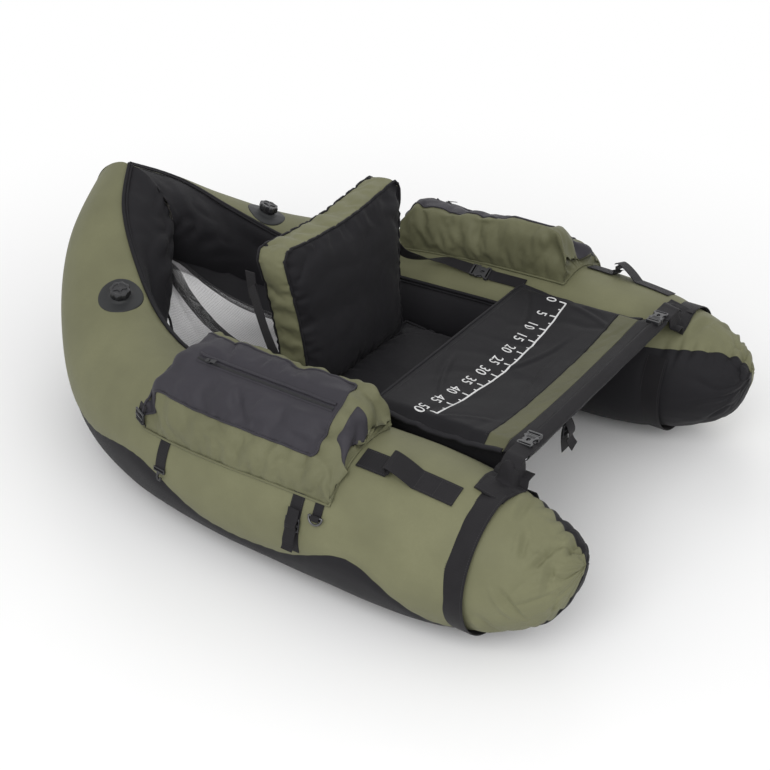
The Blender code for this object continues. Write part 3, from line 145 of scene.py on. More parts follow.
def hull_centre(place, side):
    centre = hull_frame(place)[0]
    centre.x *= side
    return centre


def seam_turns(place):
    inner, outer = catmull_rom(SEAM_SHARES, place)
    return inner * HALF, outer * HALF


def place_where(y, y_of):
    """The place at which y_of(place) reaches y, found by halving."""
    low, high = 0.0, float(LAST)
    for _ in range(40):
        middle = (low + high) / 2
        if y_of(middle) < y:
            low = middle
        else:
            high = middle
    return low


def place_at(y):
    return place_where(y, lambda place: hull_frame(place)[0].y)


def skin_point(y, turn, lift=0.0, side=1):
    place = place_where(y, lambda place: hull_point(place, turn, lift).y)
    return hull_point(place, turn, lift, side)


def skin_height(x, y):
    centre, _, radius = hull_frame(place_at(y))
    return centre.z + math.sqrt(max(radius ** 2 - (x - centre.x) ** 2, 0))


def share_to_y(share):
    return (share - 1 / 2) * LENGTH


def spread(start, stop, count):
    return [start + (stop - start) * step / count for step in range(count + 1)]


def smooth(low, high, value):
    """0 below low, 1 above high, and a smooth step between."""
    t = min(max((value - low) / (high - low), 0.0), 1.0)
    return t * t * (3 - 2 * t)


def fbm(x, y, z, octaves=3):
    return noise.fractal(Vector((x, y, z)), 1.0, 2.0, octaves)


def noise_at(x, y, z):
    return noise.noise(Vector((x, y, z)))


# ---- materials ----
OLIVE = (0.163, 0.163, 0.093)
BLACK = (0.0120, 0.0115, 0.0135)
APRON_BLACK = (0.0092, 0.0088, 0.0104)
BAG_BLACK = (0.034, 0.032, 0.039)
WEB = (0.0105, 0.0098, 0.0112)
WEAR = 0.14


class Nodes:
    """A material's node tree with short calls for what the materials here share."""

    def __init__(self, name, colour, roughness, **sockets):
        self.material = bpy.data.materials.new(name)
        self.material.use_nodes = True
        self.material.diffuse_color = (*colour, 1)
        self.tree = self.material.node_tree
        self.shader = self.tree.nodes["Principled BSDF"]
        sockets.update(Base_Color=(*colour, 1), Roughness=roughness)
        for key, value in sockets.items():
            self.shader.inputs[key.replace("_", " ")].default_value = value
        self.spot = self.add("ShaderNodeTexCoord")

    def add(self, kind, **settings):
        node = self.tree.nodes.new(kind)
        for key, value in settings.items():
            setattr(node, key, value)
        return node

    def feed(self, socket, value):
        """Set a socket to a number or a colour, or link it to another."""
        if isinstance(value, (int, float)):
            socket.default_value = value
        elif isinstance(value, tuple):
            socket.default_value = (*value, 1)
        else:
            self.tree.links.new(value, socket)

    def math(self, operation, *values, clamp=False):
        node = self.add("ShaderNodeMath", operation=operation, use_clamp=clamp)
        for socket, value in zip(node.inputs, values):
            self.feed(socket, value)
        return node.outputs[0]

    def uv(self):
        parts = self.add("ShaderNodeSeparateXYZ")
        self.feed(parts.inputs[0], self.spot.outputs["UV"])
        return parts.outputs[0], parts.outputs[1]

    def wave(self, value, pitch):
        return self.math("SINE", self.math("MULTIPLY", value, FULL / pitch))

    def noise(self, scale, detail=3.0, stretch=None, rough=0.55):
        source = self.spot.outputs["Object"]
        if stretch is not None:
            mapping = self.add("ShaderNodeMapping")
            mapping.inputs["Scale"].default_value = stretch
            self.feed(mapping.inputs["Vector"], source)
            source = mapping.outputs[0]
        node = self.add("ShaderNodeTexNoise")
        for key, value in (("Scale", scale), ("Detail", detail), ("Roughness", rough), ("Vector", source)):
            self.feed(node.inputs[key], value)
        return node.outputs["Fac"]

    def mask(self, value, low, high):
        """Black below low and white above high."""
        node = self.add("ShaderNodeValToRGB")
        for element, position, level in zip(node.color_ramp.elements, (low, high), (0, 1)):
            element.position = position
            element.color = (level, level, level, 1)
        self.feed(node.inputs[0], value)
        return node.outputs[0]

    def mix(self, factor, a, b):
        node = self.add("ShaderNodeMix", data_type="RGBA", blend_type="MIX")
        for index, value in ((0, factor), (6, a), (7, b)):
            self.feed(node.inputs[index], value)
        return node.outputs[2]

    def finish(self, tone, rough=None, bumps=()):
        """Link the colour, the roughness as (value, gain, base) and the
        bumps as (height, distance, strength), and return the material."""
        self.feed(self.shader.inputs["Base Color"], tone)
        if rough:
            self.feed(self.shader.inputs["Roughness"], self.math("MULTIPLY_ADD", *rough))
        normal = None
        for height, distance, strength in bumps:
            node = self.add("ShaderNodeBump")
            for key, value in (("Height", height), ("Distance", distance), ("Strength", strength)):
                self.feed(node.inputs[key], value)
            if normal is not None:
                self.feed(node.inputs["Normal"], normal)
            normal = node.outputs[0]
        if normal is not None:
            self.feed(self.shader.inputs["Normal"], normal)
        return self.material


def shade(colour, factor):
    return tuple(c * factor for c in colour)


def fabric(name, colour, pitch=0.0017, roughness=0.62, creases=0.35, gloss=0.18):
    """Coated woven cloth: a plain weave, soft creases, uneven colour and dusty wear."""
    n = Nodes(name, colour, roughness, Sheen_Weight=0.03, Sheen_Roughness=0.45, Specular_IOR_Level=gloss)
    warp, weft = (n.wave(way, pitch) for way in n.uv())
    cell = n.math("MULTIPLY_ADD", n.math("MULTIPLY", warp, weft), 0.5, 0.5)
    broad = n.noise(9.0, 4.0)
    fine = n.noise(220.0, 2.0)
    crease = n.noise(34.0, 5.0, stretch=(1.0, 0.55, 1.0), rough=0.6)
    tone = n.mix(n.mask(broad, 0.30, 0.72), shade(colour, 1 - WEAR * 0.8), shade(colour, 1 + WEAR * 0.6))
    tone = n.mix(n.math("MULTIPLY", cell, 0.22), tone, shade(colour, 0.62))
    dust = n.mask(n.math("MULTIPLY", fine, broad), 0.26, 0.48)
    tone = n.mix(n.math("MULTIPLY", dust, WEAR * 0.35), tone, shade(colour, 1.8))
    return n.finish(tone, (broad, 0.16, roughness - 0.08), ((crease, 0.0022, creases), (cell, 0.00022, 0.5)))


def webbing(name, colour=WEB, pitch=0.0024):
    """Ribbed flat webbing with a twill across its run."""
    n = Nodes(name, colour, 0.66, Sheen_Weight=0.04, Sheen_Roughness=0.4, Specular_IOR_Level=0.18)
    u, v = n.uv()
    rib = n.wave(v, pitch)
    zigzag = n.math("MULTIPLY", n.math("ABSOLUTE", n.wave(v, pitch * 4)), 3.0)
    twill = n.math("SINE", n.math("ADD", n.math("MULTIPLY", u, FULL / (pitch * 0.8)), zigzag))
    height = n.math("ADD", n.math("MULTIPLY", rib, 0.35), n.math("MULTIPLY", twill, 0.65))
    tone = n.mix(n.math("MULTIPLY_ADD", height, 0.25, 0.3), shade(colour, 1.15), shade(colour, 0.62))
    tone = n.mix(n.mask(n.noise(24.0, 3.0), 0.3, 0.75), tone, shade(colour, 1.25))
    return n.finish(tone, None, ((height, 0.0004, 0.55),))


def plastic(name, colour=(0.014, 0.014, 0.016)):
    """Moulded plastic with a fine spark-eroded grain and scuffed sheen."""
    n = Nodes(name, colour, 0.36)
    scuff = n.noise(60.0, 5.0, stretch=(1.0, 3.0, 1.0), rough=0.65)
    mark = n.math("MULTIPLY", n.mask(scuff, 0.56, 0.72), 0.20)
    tone = n.mix(mark, colour, (0.075, 0.074, 0.076))
    return n.finish(tone, (scuff, 0.22, 0.26), ((n.noise(900.0, 2.0), 0.0002, 0.18),))


def rubber(name, colour=(0.026, 0.027, 0.028)):
    """Matt rubber, a little uneven."""
    n = Nodes(name, shade(colour, 0.85), 0.5, Specular_IOR_Level=0.2)
    broad = n.noise(40.0, 4.0)
    tone = n.mix(broad, shade(colour, 0.8), shade(colour, 1.25))
    return n.finish(tone, (broad, 0.2, 0.40), ((n.noise(500.0, 2.0), 0.0003, 0.25),))


def metal(name, colour, roughness):
    """Drawn metal with faint streaks along x."""
    n = Nodes(name, colour, roughness, Metallic=1.0)
    streak = n.noise(120.0, 3.0, stretch=(1.0, 12.0, 12.0))
    tone = n.mix(streak, shade(colour, 0.72), shade(colour, 1.12))
    return n.finish(tone, (streak, 0.2, roughness - 0.08), ((streak, 0.0002, 0.15),))


def fibre(name, colour, roughness=0.62):
    """Spun thread: twisted plies, lighter where it is rubbed, with uneven dye."""
    n = Nodes(name, colour, roughness, Specular_IOR_Level=0.3)
    ply = n.noise(1500.0, 2.0, stretch=(1.0, 1.0, 0.4))
    tone = n.mix(n.mask(n.noise(30.0, 3.0), 0.3, 0.7), shade(colour, 0.86), shade(colour, 1.14))
    tone = n.mix(n.math("MULTIPLY", ply, 0.5), tone, shade(colour, 0.62))
    return n.finish(tone, (ply, 0.2, roughness - 0.1), ((ply, 0.0002, 0.5),))


def film(name, colour=(0.42, 0.40, 0.36)):
    """Thick grey vinyl film of the air chambers, with welded wrinkles and a hazy gloss."""
    n = Nodes(name, colour, 0.35, Coat_Weight=0.15)
    haze = n.noise(14.0, 4.0)
    wrinkle = n.noise(48.0, 5.0, stretch=(1.0, 0.4, 1.0), rough=0.6)
    tone = n.mix(haze, shade(colour, 0.86), shade(colour, 1.1))
    return n.finish(tone, (haze, 0.2, 0.25), ((wrinkle, 0.0018, 0.4),))


def ink(name, colour=(0.62, 0.62, 0.62)):
    """Screen-printed white ink, thin over the weave and flaked here and there."""
    n = Nodes(name, colour, 0.55)
    flake = n.noise(260.0, 4.0, rough=0.7)
    tone = n.mix(n.noise(18.0, 2.0), shade(colour, 0.86), shade(colour, 1.08))
    tone = n.mix(n.math("MULTIPLY", n.mask(flake, 0.60, 0.74), 0.55), tone, shade(APRON_BLACK, 6.0))
    return n.finish(tone, (flake, 0.2, 0.45), ((flake, 0.0002, 0.35),))


# Each material, with a slot name beside it
BAG_CLOTH = {"pitch": 0.0013, "creases": 0.5}
MATERIALS = {
    "olive": (fabric("olive_cloth", OLIVE), "olive_fabric"),
    "black": (fabric("black_cloth", BLACK, roughness=0.66, gloss=0.16), "black_fabric"),
    "bag_olive": (fabric("bag_olive_cloth", shade(OLIVE, 0.84), roughness=0.58, **BAG_CLOTH),
                  "olive_fabric"),
    "bag_black": (fabric("bag_black_cloth", BAG_BLACK, roughness=0.55, **BAG_CLOTH), "black_fabric"),
    "apron": (fabric("apron_cloth", APRON_BLACK, roughness=0.60, gloss=0.13), "black_fabric"),
    "apron_olive": (fabric("apron_band_cloth", shade(OLIVE, 0.62), roughness=0.6, **BAG_CLOTH),
                    "olive_fabric"),
    "webbing": (webbing("webbing"), "webbing"),
    "plastic": (plastic("moulded_plastic"), "buckle_plastic"),
    "rubber": (rubber("valve_rubber"), "valve_rubber"),
    "steel": (metal("ring_steel", (0.13, 0.13, 0.135), 0.38), "ring_steel"),
    "alloy": (metal("bar_alloy", (0.56, 0.57, 0.58), 0.32), None),
    "film": (film("bladder_film"), "bladder_film"),
    "ink": (ink("white_ink"), "black_fabric"),
    "thread": (fibre("dark_thread", (0.034, 0.033, 0.035)), "webbing"),
    "net": (fibre("net_thread", (0.46, 0.45, 0.46), 0.7), "net_cord"),
    "net_dark": (fibre("dark_net_thread", (0.024, 0.023, 0.025), 0.7), "net_cord"),
}


# ---- making objects ----
def make(name, verts, faces, uvs=None, material="black", body="hull", slot=None, replaces=None,
         smooth=True):
    """One object from plain lists, with a UV in metres for each vertex."""
    mesh = bpy.data.meshes.new(name)
    mesh.from_pydata([tuple(v) for v in verts], [], faces)
    if uvs is not None:
        layer = mesh.uv_layers.new(name="metres")
        index = np.empty(len(mesh.loops), np.int32)
        mesh.loops.foreach_get("vertex_index", index)
        layer.data.foreach_set("uv", np.asarray(uvs, np.float32)[index].ravel())
    look, usual_slot = MATERIALS[material]
    mesh.materials.append(look)
    if smooth:
        mesh.shade_smooth()
    item = bpy.data.objects.new(name, mesh)
    bpy.context.scene.collection.objects.link(item)
    if body:
        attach(item, body)
    if replaces:
        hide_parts(replaces)
    return item


def grid_faces(rows, columns, closed=False, flip=False, start=0):
    """Quads between rows of points."""
    faces = []
    last = columns if closed else columns - 1
    for i in range(rows - 1):
        for j in range(last):
            k = (j + 1) % columns
            a = start + i * columns
            b = a + columns
            quad = (a + j, a + k, b + k, b + j)
            faces.append(quad[::-1] if flip else quad)
    return faces


def loft(rings, around, start=0, closed=False, flip=False):
    """Quads round a row of rings, with end faces where the row isn't closed."""
    faces = []
    for i in range(rings if closed else rings - 1):
        a, b = start + i * around, start + (i + 1) % rings * around
        for j in range(around):
            k = (j + 1) % around
            faces.append((a + j, a + k, b + k, b + j) if flip else (a + j, b + j, b + k, a + k))
    if not closed:
        first = tuple(range(start, start + around))
        last = tuple(i + (rings - 1) * around for i in first)
        faces += [first[::-1], last] if flip else [first, last[::-1]]
    return faces


def rim_of(nx, ny):
    """The (i, j) round the edge of a grid of nx by ny cells."""
    return [(i, 0) for i in range(nx)] + [(nx, j) for j in range(ny)] + \
        [(i, ny) for i in range(nx, 0, -1)] + [(0, j) for j in range(ny, 0, -1)]


def grid_uvs(grid):
    """UVs in metres, measured along the middle row and column."""
    rows, columns = len(grid), len(grid[0])
    us, vs = [0.0], [0.0]
    for a, b in zip(grid[rows // 2], grid[rows // 2][1:]):
        us.append(us[-1] + (Vector(b) - Vector(a)).length)
    for a, b in zip(grid, grid[1:]):
        vs.append(vs[-1] + (Vector(b[columns // 2]) - Vector(a[columns // 2])).length)
    return [(u, v) for v in vs for u in us]


def grid_normals(grid):
    """A unit normal for each point of a grid."""
    rows, columns = len(grid), len(grid[0])
    normals = []
    for i in range(rows):
        for j in range(columns):
            a = Vector(grid[min(i + 1, rows - 1)][j]) - Vector(grid[max(i - 1, 0)][j])
            b = Vector(grid[i][min(j + 1, columns - 1)]) - Vector(grid[i][max(j - 1, 0)])
            normals.append(b.cross(a).normalized())
    return normals


def sheet_from_grid(name, grid, thickness=0.0, under=None, **options):
    """A closed sheet through a grid of points, down to another grid or to its thickness."""
    rows, columns = len(grid), len(grid[0])
    verts = [Vector(p) for row in grid for p in row]
    if under:
        verts += [Vector(p) for row in under for p in row]
    else:
        verts += [v - n * thickness for v, n in zip(verts, grid_normals(grid))]
    offset = rows * columns
    faces = grid_faces(rows, columns) + grid_faces(rows, columns, flip=True, start=offset)
    ids = [i * columns + j for j, i in rim_of(columns - 1, rows - 1)]
    for a, b in zip(ids, ids[1:] + ids[:1]):
        faces.append((b, a, a + offset, b + offset))
    return make(name, verts, faces, grid_uvs(grid) * 2, **options)


# ---- pontoons ----
HULL_ROWS, TOP_COLUMNS, LOW_COLUMNS = 250, 110, 76
BAND_SHARE = 0.1164
BAND_WIDTH = 0.045
VALVE_AXES = ((0.24292, 0.43073, 0.29893), (-0.5786, 0.7246, 0.3743), (0.2616, -0.2698, 0.9267))
# Folds at the tips: row, turn, reach in turn, width in rows, depth, slant in rows for each turn
CREASES = (
    (2.25, math.radians(60), 0.22, 0.09, 0.0060, 0.35),
    (1.68, math.radians(53), 0.26, 0.10, 0.0065, -0.55),
    (1.30, math.radians(24), 0.40, 0.12, 0.0060, 0.20),
    (2.15, math.radians(-4), 0.36, 0.10, 0.0062, 0.85),
    (2.75, math.radians(96), 0.30, 0.10, 0.0055, 0.25),
    (1.05, math.radians(86), 0.34, 0.12, 0.0060, 0.10),
    (2.70, math.radians(-34), 0.30, 0.10, 0.0050, 0.40),
)


def tip_relief(place, turn, seed):
    """The slack, crumples and folds of the cloth at a pontoon's tip."""
    tip = 1 - smooth(0.6, 3.3, place)
    if tip <= 0:
        return 0.0
    low = max(0.0, 0.35 * math.cos(turn) - 0.95 * math.sin(turn))
    relief = 0.021 * low * math.exp(-(place - 1.0) ** 2)
    fold = abs(noise_at(turn * 1.9 + 0.3 * place, place * 0.9, seed))
    relief += tip * 0.0075 * (min(fold * 3.2, 1) ** 0.6 - 0.72)
    relief += tip * 0.0024 * fbm(turn * 5.5, place * 1.8, seed + 4, 3)
    for row, around, reach, wide, deep, slant in CREASES:
        along = (place - row - slant * (turn - around)) / wide
        gap = (turn - around) / reach
        if abs(gap) < 1.6 and abs(along) < 4:
            profile = 0.75 * math.exp(-(along - 1.5) ** 2) - math.exp(-along * along)
            relief += deep * math.exp(-gap ** 4) * profile
    return relief


def seam_relief(place, turn, y, seed):
    """The pull of both seams and, near the tip, the gathers beside them."""
    relief = 0.0
    radius = hull_frame(place)[2]
    gather = 1 - smooth(2.2, 4.2, place)
    for which, seam in enumerate(seam_turns(place)):
        gap = abs(turn - seam) * radius
        pull = 0.5 + 0.5 * math.sin(y * 190 + 2.2 * fbm(y * 18, seam, seed, 2))
        relief -= math.exp(-((gap / 0.012) ** 2)) * (0.0016 + 0.0011 * pull)
        if gather > 0:
            run = seam_run(place, which)
            phase = run / 0.034 + 0.6 * noise_at(run * 14, seed, seam)
            puff = abs(math.sin(HALF * phase)) ** 0.7
            reach = 0.030 + 0.020 * noise_at(math.floor(phase) * 3.7, seed, 2)
            relief += gather * 0.0082 * (puff - 0.70) * math.exp(-(gap / reach) ** 2)
    return relief


def skin_relief(place, turn, side):
    """How far the cloth stands off the plain tube: gathers, creases and seam pulls."""
    turn = turn if turn < FULL - 1.2 else turn - FULL
    point = hull_point(place, turn)
    y = point.y
    seed = 7.3 if side > 0 else 2.1
    relief = 0.0022 * fbm(y * 5.0, turn * 0.8 * TUBE_RADIUS * 14, seed, 2)
    relief += tip_relief(place, turn, seed) + seam_relief(place, turn, y, seed)
    bow = smooth(LAST * 0.80, LAST * 0.96, place)
    if bow > 0:
        inside = max(0.0, -math.cos(turn)) * smooth(-0.6, 0.3, math.sin(turn))
        fold = abs(noise_at(point.x * 22, y * 9, point.z * 22 + seed))
        relief += bow * inside * (0.010 * min(fold * 3, 1) - 0.008)
    if 7.5 < place < 12.6:
        inner = seam_turns(place)[0]
        dent = math.exp(-((place - 10.45) / 0.80) ** 2)
        dent *= smooth(inner + 0.02, inner + 0.50, turn) * (1 - smooth(3.4, 4.2, turn))
        relief -= 0.040 * dent
    gap = (y - share_to_y(BAND_SHARE)) / 0.026
    relief -= 0.0022 * math.exp(-gap ** 4)
    seat = 1 - smooth(0.040, 0.062, (point - Vector(VALVE_AXES[0])).length)
    return relief + (min(relief, -0.0008) - relief) * seat


SEAM_STEPS = 260
RUNS = {}


def seam_run(place, which):
    """Length along the inner (0) or outer (1) seam from the tip, in metres."""
    if which not in RUNS:
        points = [hull_point(p, seam_turns(p)[which]) for p in spread(0, LAST, SEAM_STEPS)]
        RUNS[which] = [0.0]
        for a, b in zip(points, points[1:]):
            RUNS[which].append(RUNS[which][-1] + (b - a).length)
    rows = RUNS[which]
    spot = min(max(place / LAST * SEAM_STEPS, 0), SEAM_STEPS - 0.001)
    index = int(spot)
    return rows[index] + (rows[index + 1] - rows[index]) * (spot - index)


def make_cover(side_name, side, top):
    """The olive upper or the black lower skin of a pontoon, with rows closer at the tip."""
    places = [LAST * (0.42 * t + 0.58 * t ** 1.8) for t in spread(0, 1, HULL_ROWS)]
    columns = TOP_COLUMNS if top else LOW_COLUMNS
    verts, uvs = [], []
    along = 0.0
    before = None
    for place in places:
        inner, outer = seam_turns(place)
        low, high = (outer, inner) if top else (inner, FULL + outer)
        centre = hull_centre(place, 1)
        if before is not None:
            along += (centre - before).length
        before = centre
        for turn in spread(low, high, columns):
            point = hull_point(place, turn, skin_relief(place, turn, side), side)
            if place == places[-1]:
                point.x = 0.0
            point.z = max(point.z, 0.0003)
            verts.append(point)
            uvs.append((turn * TUBE_RADIUS, along))
    faces = grid_faces(len(places), columns + 1, flip=(side > 0))
    faces += [tuple(range(columns + 1)) if side > 0 else tuple(range(columns, -1, -1))]
    colour = "olive" if top else "black"
    return make(side_name + "_pontoon_" + colour, verts, faces, uvs, material=colour,
                replaces=side_name + ("_cover_top" if top else "_cover_bottom"))


def make_bladder(side_name, side):
    """The air chamber inside a pontoon's covers."""
    around = 40
    places = spread(0.35, LAST - 0.05, 90)
    verts = []
    for place in places:
        for j in range(around):
            turn = FULL * j / around
            gap = min(skin_relief(place, turn, side), 0) - 0.0105 - 0.022 * smooth(10.2, 11.2, place)
            point = hull_point(place, turn, gap, side)
            point.x = max(point.x * side, 0.0012) * side
            verts.append(point)
    return make(side_name + "_air_chamber", verts, loft(len(places), around, flip=(side < 0)),
                material="film", replaces=side_name + "_bladder")


def make_pontoons():
    for side_name, side in SIDES:
        make_bladder(side_name, side)
    for side_name, side in SIDES:
        for top in (True, False):
            make_cover(side_name, side, top)


# ---- soft pieces ----
def coords_of(item):
    coords = np.empty(len(item.data.vertices) * 3, np.float32)
    item.data.vertices.foreach_get("co", coords)
    return coords.reshape(-1, 3)


def set_coords(item, coords):
    item.data.vertices.foreach_set("co", np.asarray(coords, np.float32).ravel())
    item.data.update()


def inflate(item, pins, pressure, grow, cap, bending, frames=20):
    """Blow a closed mesh up as cloth, held by its pins, and keep the shape it takes."""
    group = item.vertex_groups.new(name="pin")
    for index, weight in enumerate(pins):
        if weight > 0:
            group.add([index], weight, "REPLACE")
    before = coords_of(item)
    modifier = item.modifiers.new("cloth", "CLOTH")
    modifier.point_cache.frame_start = 1
    modifier.point_cache.frame_end = frames
    settings = modifier.settings
    stiff = 12.0
    for key, value in (
        ("quality", 5), ("mass", 0.2), ("tension_stiffness", stiff), ("compression_stiffness", stiff),
        ("shear_stiffness", stiff / 3), ("bending_stiffness", bending), ("use_pressure", True),
        ("uniform_pressure_force", pressure), ("shrink_min", -grow), ("vertex_group_mass", "pin"),
    ):
        setattr(settings, key, value)
    settings.effector_weights.gravity = 0
    scene = bpy.context.scene
    for step in range(1, frames + 1):
        scene.frame_set(step)
    mesh = item.evaluated_get(bpy.context.evaluated_depsgraph_get()).to_mesh()
    after = np.empty(len(mesh.vertices) * 3, np.float32)
    mesh.vertices.foreach_get("co", after)
    item.modifiers.remove(modifier)
    scene.frame_set(1)
    move = after.reshape(-1, 3) - before
    reach = np.linalg.norm(move, axis=1, keepdims=True)
    reach[reach == 0] = 1
    move *= np.minimum(reach, cap + 0.25 * np.maximum(reach - cap, 0)) / reach
    item.vertex_groups.clear()
    set_coords(item, before + move)


def subdivide(item):
    """Round the mesh with a subdivision surface, applied."""
    item.modifiers.new("round", "SUBSURF").levels = 1
    mesh = bpy.data.meshes.new_from_object(
        item.evaluated_get(bpy.context.evaluated_depsgraph_get()))
    item.modifiers.clear()
    old = item.data
    item.data = mesh
    bpy.data.meshes.remove(old)
    mesh.name = item.name


def box_lattice(nx, ny, nz, place):
    """Points and faces on the surface of a block of cells, mapped by place(u, v, w)."""
    index, verts, keys, faces, sides = {}, [], [], [], []

    def quad(side, *corners):
        for key in corners:
            if key not in index:
                index[key] = len(verts)
                i, j, k = key
                verts.append(place(2 * i / nx - 1, 2 * j / ny - 1, 2 * k / nz - 1))
                keys.append(key)
        faces.append(tuple(index[key] for key in corners))
        sides.append(side)

    for i in range(nx):
        for j in range(ny):
            quad("top", (i, j, nz), (i + 1, j, nz), (i + 1, j + 1, nz), (i, j + 1, nz))
            quad("bottom", (i, j, 0), (i, j + 1, 0), (i + 1, j + 1, 0), (i + 1, j, 0))
    for i in range(nx):
        for k in range(nz):
            quad("edge", (i, 0, k), (i + 1, 0, k), (i + 1, 0, k + 1), (i, 0, k + 1))
            quad("edge", (i, ny, k), (i, ny, k + 1), (i + 1, ny, k + 1), (i + 1, ny, k))
    for j in range(ny):
        for k in range(nz):
            quad("edge", (0, j, k), (0, j, k + 1), (0, j + 1, k + 1), (0, j + 1, k))
            quad("edge", (nx, j, k), (nx, j + 1, k), (nx, j + 1, k + 1), (nx, j, k + 1))
    return verts, faces, sides, keys


def face_normals_of(verts, faces):
    """Averaged unit normals at the points of a mesh."""
    points = np.asarray([tuple(v) for v in verts])
    normals = np.zeros_like(points)
    for face in faces:
        a, b, c = (points[face[0]], points[face[1]], points[face[-1]])
        normal = np.cross(b - a, c - a)
        for index in face:
            normals[index] += normal
    lengths = np.linalg.norm(normals, axis=1, keepdims=True)
    lengths[lengths == 0] = 1
    return normals / lengths


def open_edges(faces):
    """The edges that only one of the faces has, in that face's order."""
    edges = {}
    for face in faces:
        for a, b in zip(face, face[1:] + face[:1]):
            edges[(a, b)] = True
    return [(a, b) for a, b in edges if (b, a) not in edges]


def skin(name, verts, faces, normals, thickness, uvs, lift=0.0, **options):
    """Some faces of a mesh as a closed skin of their own, thick inwards."""
    used = sorted({index for face in faces for index in face})
    number = {index: place for place, index in enumerate(used)}
    count = len(used)
    layers = [tuple(np.asarray(verts[i]) + normals[i] * depth)
              for depth in (lift, lift - thickness) for i in used]
    mapped = [tuple(number[i] for i in face) for face in faces]
    closed = mapped + [tuple(i + count for i in face[::-1]) for face in mapped]
    closed += [(b, a, a + count, b + count) for a, b in open_edges(mapped)]
    return make(name, layers, closed, [uvs[i] for i in used] * 2, **options)


def tube(name, points, radius, sides=8, closed=False, squeeze=1.0, **options):
    """A round cord or piping along points."""
    points = [Vector(p) for p in points]
    count = len(points)
    verts, uvs = [], []
    along = 0.0
    up = UP
    for i, point in enumerate(points):
        if closed:
            run = points[(i + 1) % count] - points[i - 1]
        else:
            run = points[min(i + 1, count - 1)] - points[max(i - 1, 0)]
        run.normalize()
        across = run.cross(up)
        if across.length < 0.1:
            across = run.cross(Vector((1, 0, 0)))
        across.normalize()
        up = across.cross(run).normalized()
        if i:
            along += (point - points[i - 1]).length
        for j in range(sides):
            angle = FULL * j / sides
            verts.append(point + across * (radius * math.cos(angle))
                         + up * (radius * squeeze * math.sin(angle)))
            uvs.append((angle * radius, along))
    return make(name, verts, loft(count, sides, closed=closed), uvs, **options)


# Backrest, in its own axes: x across, y deep, z up from the hinge
BACK_HINGE = Vector((0, -0.0219, 0.17107))
BACK_LEAN = math.radians(5.5)
BACK_HALF_WIDTH, BACK_HALF_HEIGHT = 0.205, 0.1675
BACK_ROOM, BACK_CORE = 0.022, 0.054
BACK_TAPER = 0.18
BACK_DRAW = 0.010


def back_world(point):
    return BACK_HINGE + Matrix.Rotation(-BACK_LEAN, 3, "X") @ Vector(point)


def rounded_corner(u, v, half_u, half_v, radius):
    """Moves a point of a flat block so that the block's corners are rounded."""
    a = (abs(u) * half_u - (half_u - radius)) / radius
    b = (abs(v) * half_v - (half_v - radius)) / radius
    if a <= 0 or b <= 0:
        return u, v
    round_a, round_b = a * math.sqrt(1 - b * b / 2), b * math.sqrt(1 - a * a / 2)
    u = math.copysign((half_u - radius + round_a * radius) / half_u, u)
    v = math.copysign((half_v - radius + round_b * radius) / half_v, v)
    return u, v


def crumple(point, seed, size=1.0):
    """Sharp-valleyed folds, as in a slack coated cloth: from about -0.6 to 0.7."""
    x, y, z = (value / size for value in point)
    first = abs(noise_at(x * 13, y * 11, z * 13 + seed))
    second = abs(noise_at(x * 31 + seed, y * 27, z * 31))
    return 0.72 * (min(first * 3.0, 1.2) - 0.6) + 0.34 * (min(second * 3.0, 1.2) - 0.6)


def back_place(u, v, w):
    """A point of the plump backrest block; w runs from its rear to its front."""
    u, v = rounded_corner(u, v, BACK_HALF_WIDTH, BACK_HALF_HEIGHT, 0.032 if v > 0 else 0.022)
    width = BACK_HALF_WIDTH * (1 - BACK_TAPER * (1 - v) / 2)
    x = u * (width - BACK_DRAW * (1 - v * v))
    pull = BACK_DRAW if v > 0 else 0.003
    z = BACK_HALF_HEIGHT + v * (BACK_HALF_HEIGHT - pull * (1 - u * u))
    y = BACK_ROOM + BACK_CORE / 2 - w * (BACK_CORE / 2 + 0.006)
    edge = ((1 - u * u) * (1 - v * v)) ** 0.6
    if w > 0.99:
        y -= 0.008 * edge
    if w < -0.99:
        y += 0.006 * edge
    z += 0.011 * smooth(-0.2, 1.0, u) * smooth(0.2, 1.0, v)
    x += 0.0012 * fbm(u * 7, v * 7, w * 3 + 1.5, 2)
    z += 0.0012 * fbm(u * 7, v * 7, w * 3 + 8.5, 2)
    return back_world((x, y, z))


def back_fold(u, v, w, on_side, side_wall, top_edge):
    """How far the backrest's cloth lifts at a point: gathers at its seams, and crumples."""
    x, z = u * BACK_HALF_WIDTH, v * BACK_HALF_HEIGHT
    if on_side:
        run = (z if side_wall else x) + (3.1 if u == -1 else 0.0) + (1.7 if top_edge else 0.0)
        phase = run / 0.021 + 1.3 * noise_at(run * 16, w * 0.8, 2.0) + 0.25 * w
        fold = abs(math.sin(HALF * phase)) ** 0.8 - 0.64
        corner = smooth(0.55, 1.0, abs(u)) * smooth(0.55, 1.0, abs(v))
        amount = (0.0040 + 0.0050 * corner) * (0.45 + 0.55 * noise_at(run * 9, 5, w) ** 2 * 4)
        return (amount * fold * (0.35 + 0.65 * abs(w) ** 1.5),
                0.0030 * crumple((x * 2, w * 0.02, z * 2), 4.0))
    layer = 12 if w > 0 else 0
    across, high = (1 - abs(u)) * BACK_HALF_WIDTH, (1 - abs(v)) * BACK_HALF_HEIGHT
    run = x if high < across else z + 4
    phase = run / 0.030 + 1.5 * noise_at(run * 12, layer, 1.0)
    reach = 0.020 + 0.018 * max(0, noise_at(math.floor(phase) * 2.3, layer, 0))
    fold = abs(math.sin(HALF * phase)) ** 0.6 - 0.72
    return (0.0062 * fold * math.exp(-(min(across, high) / reach) ** 2),
            0.0046 * crumple((x, layer * 3.0, z), 2.0, 2.2))


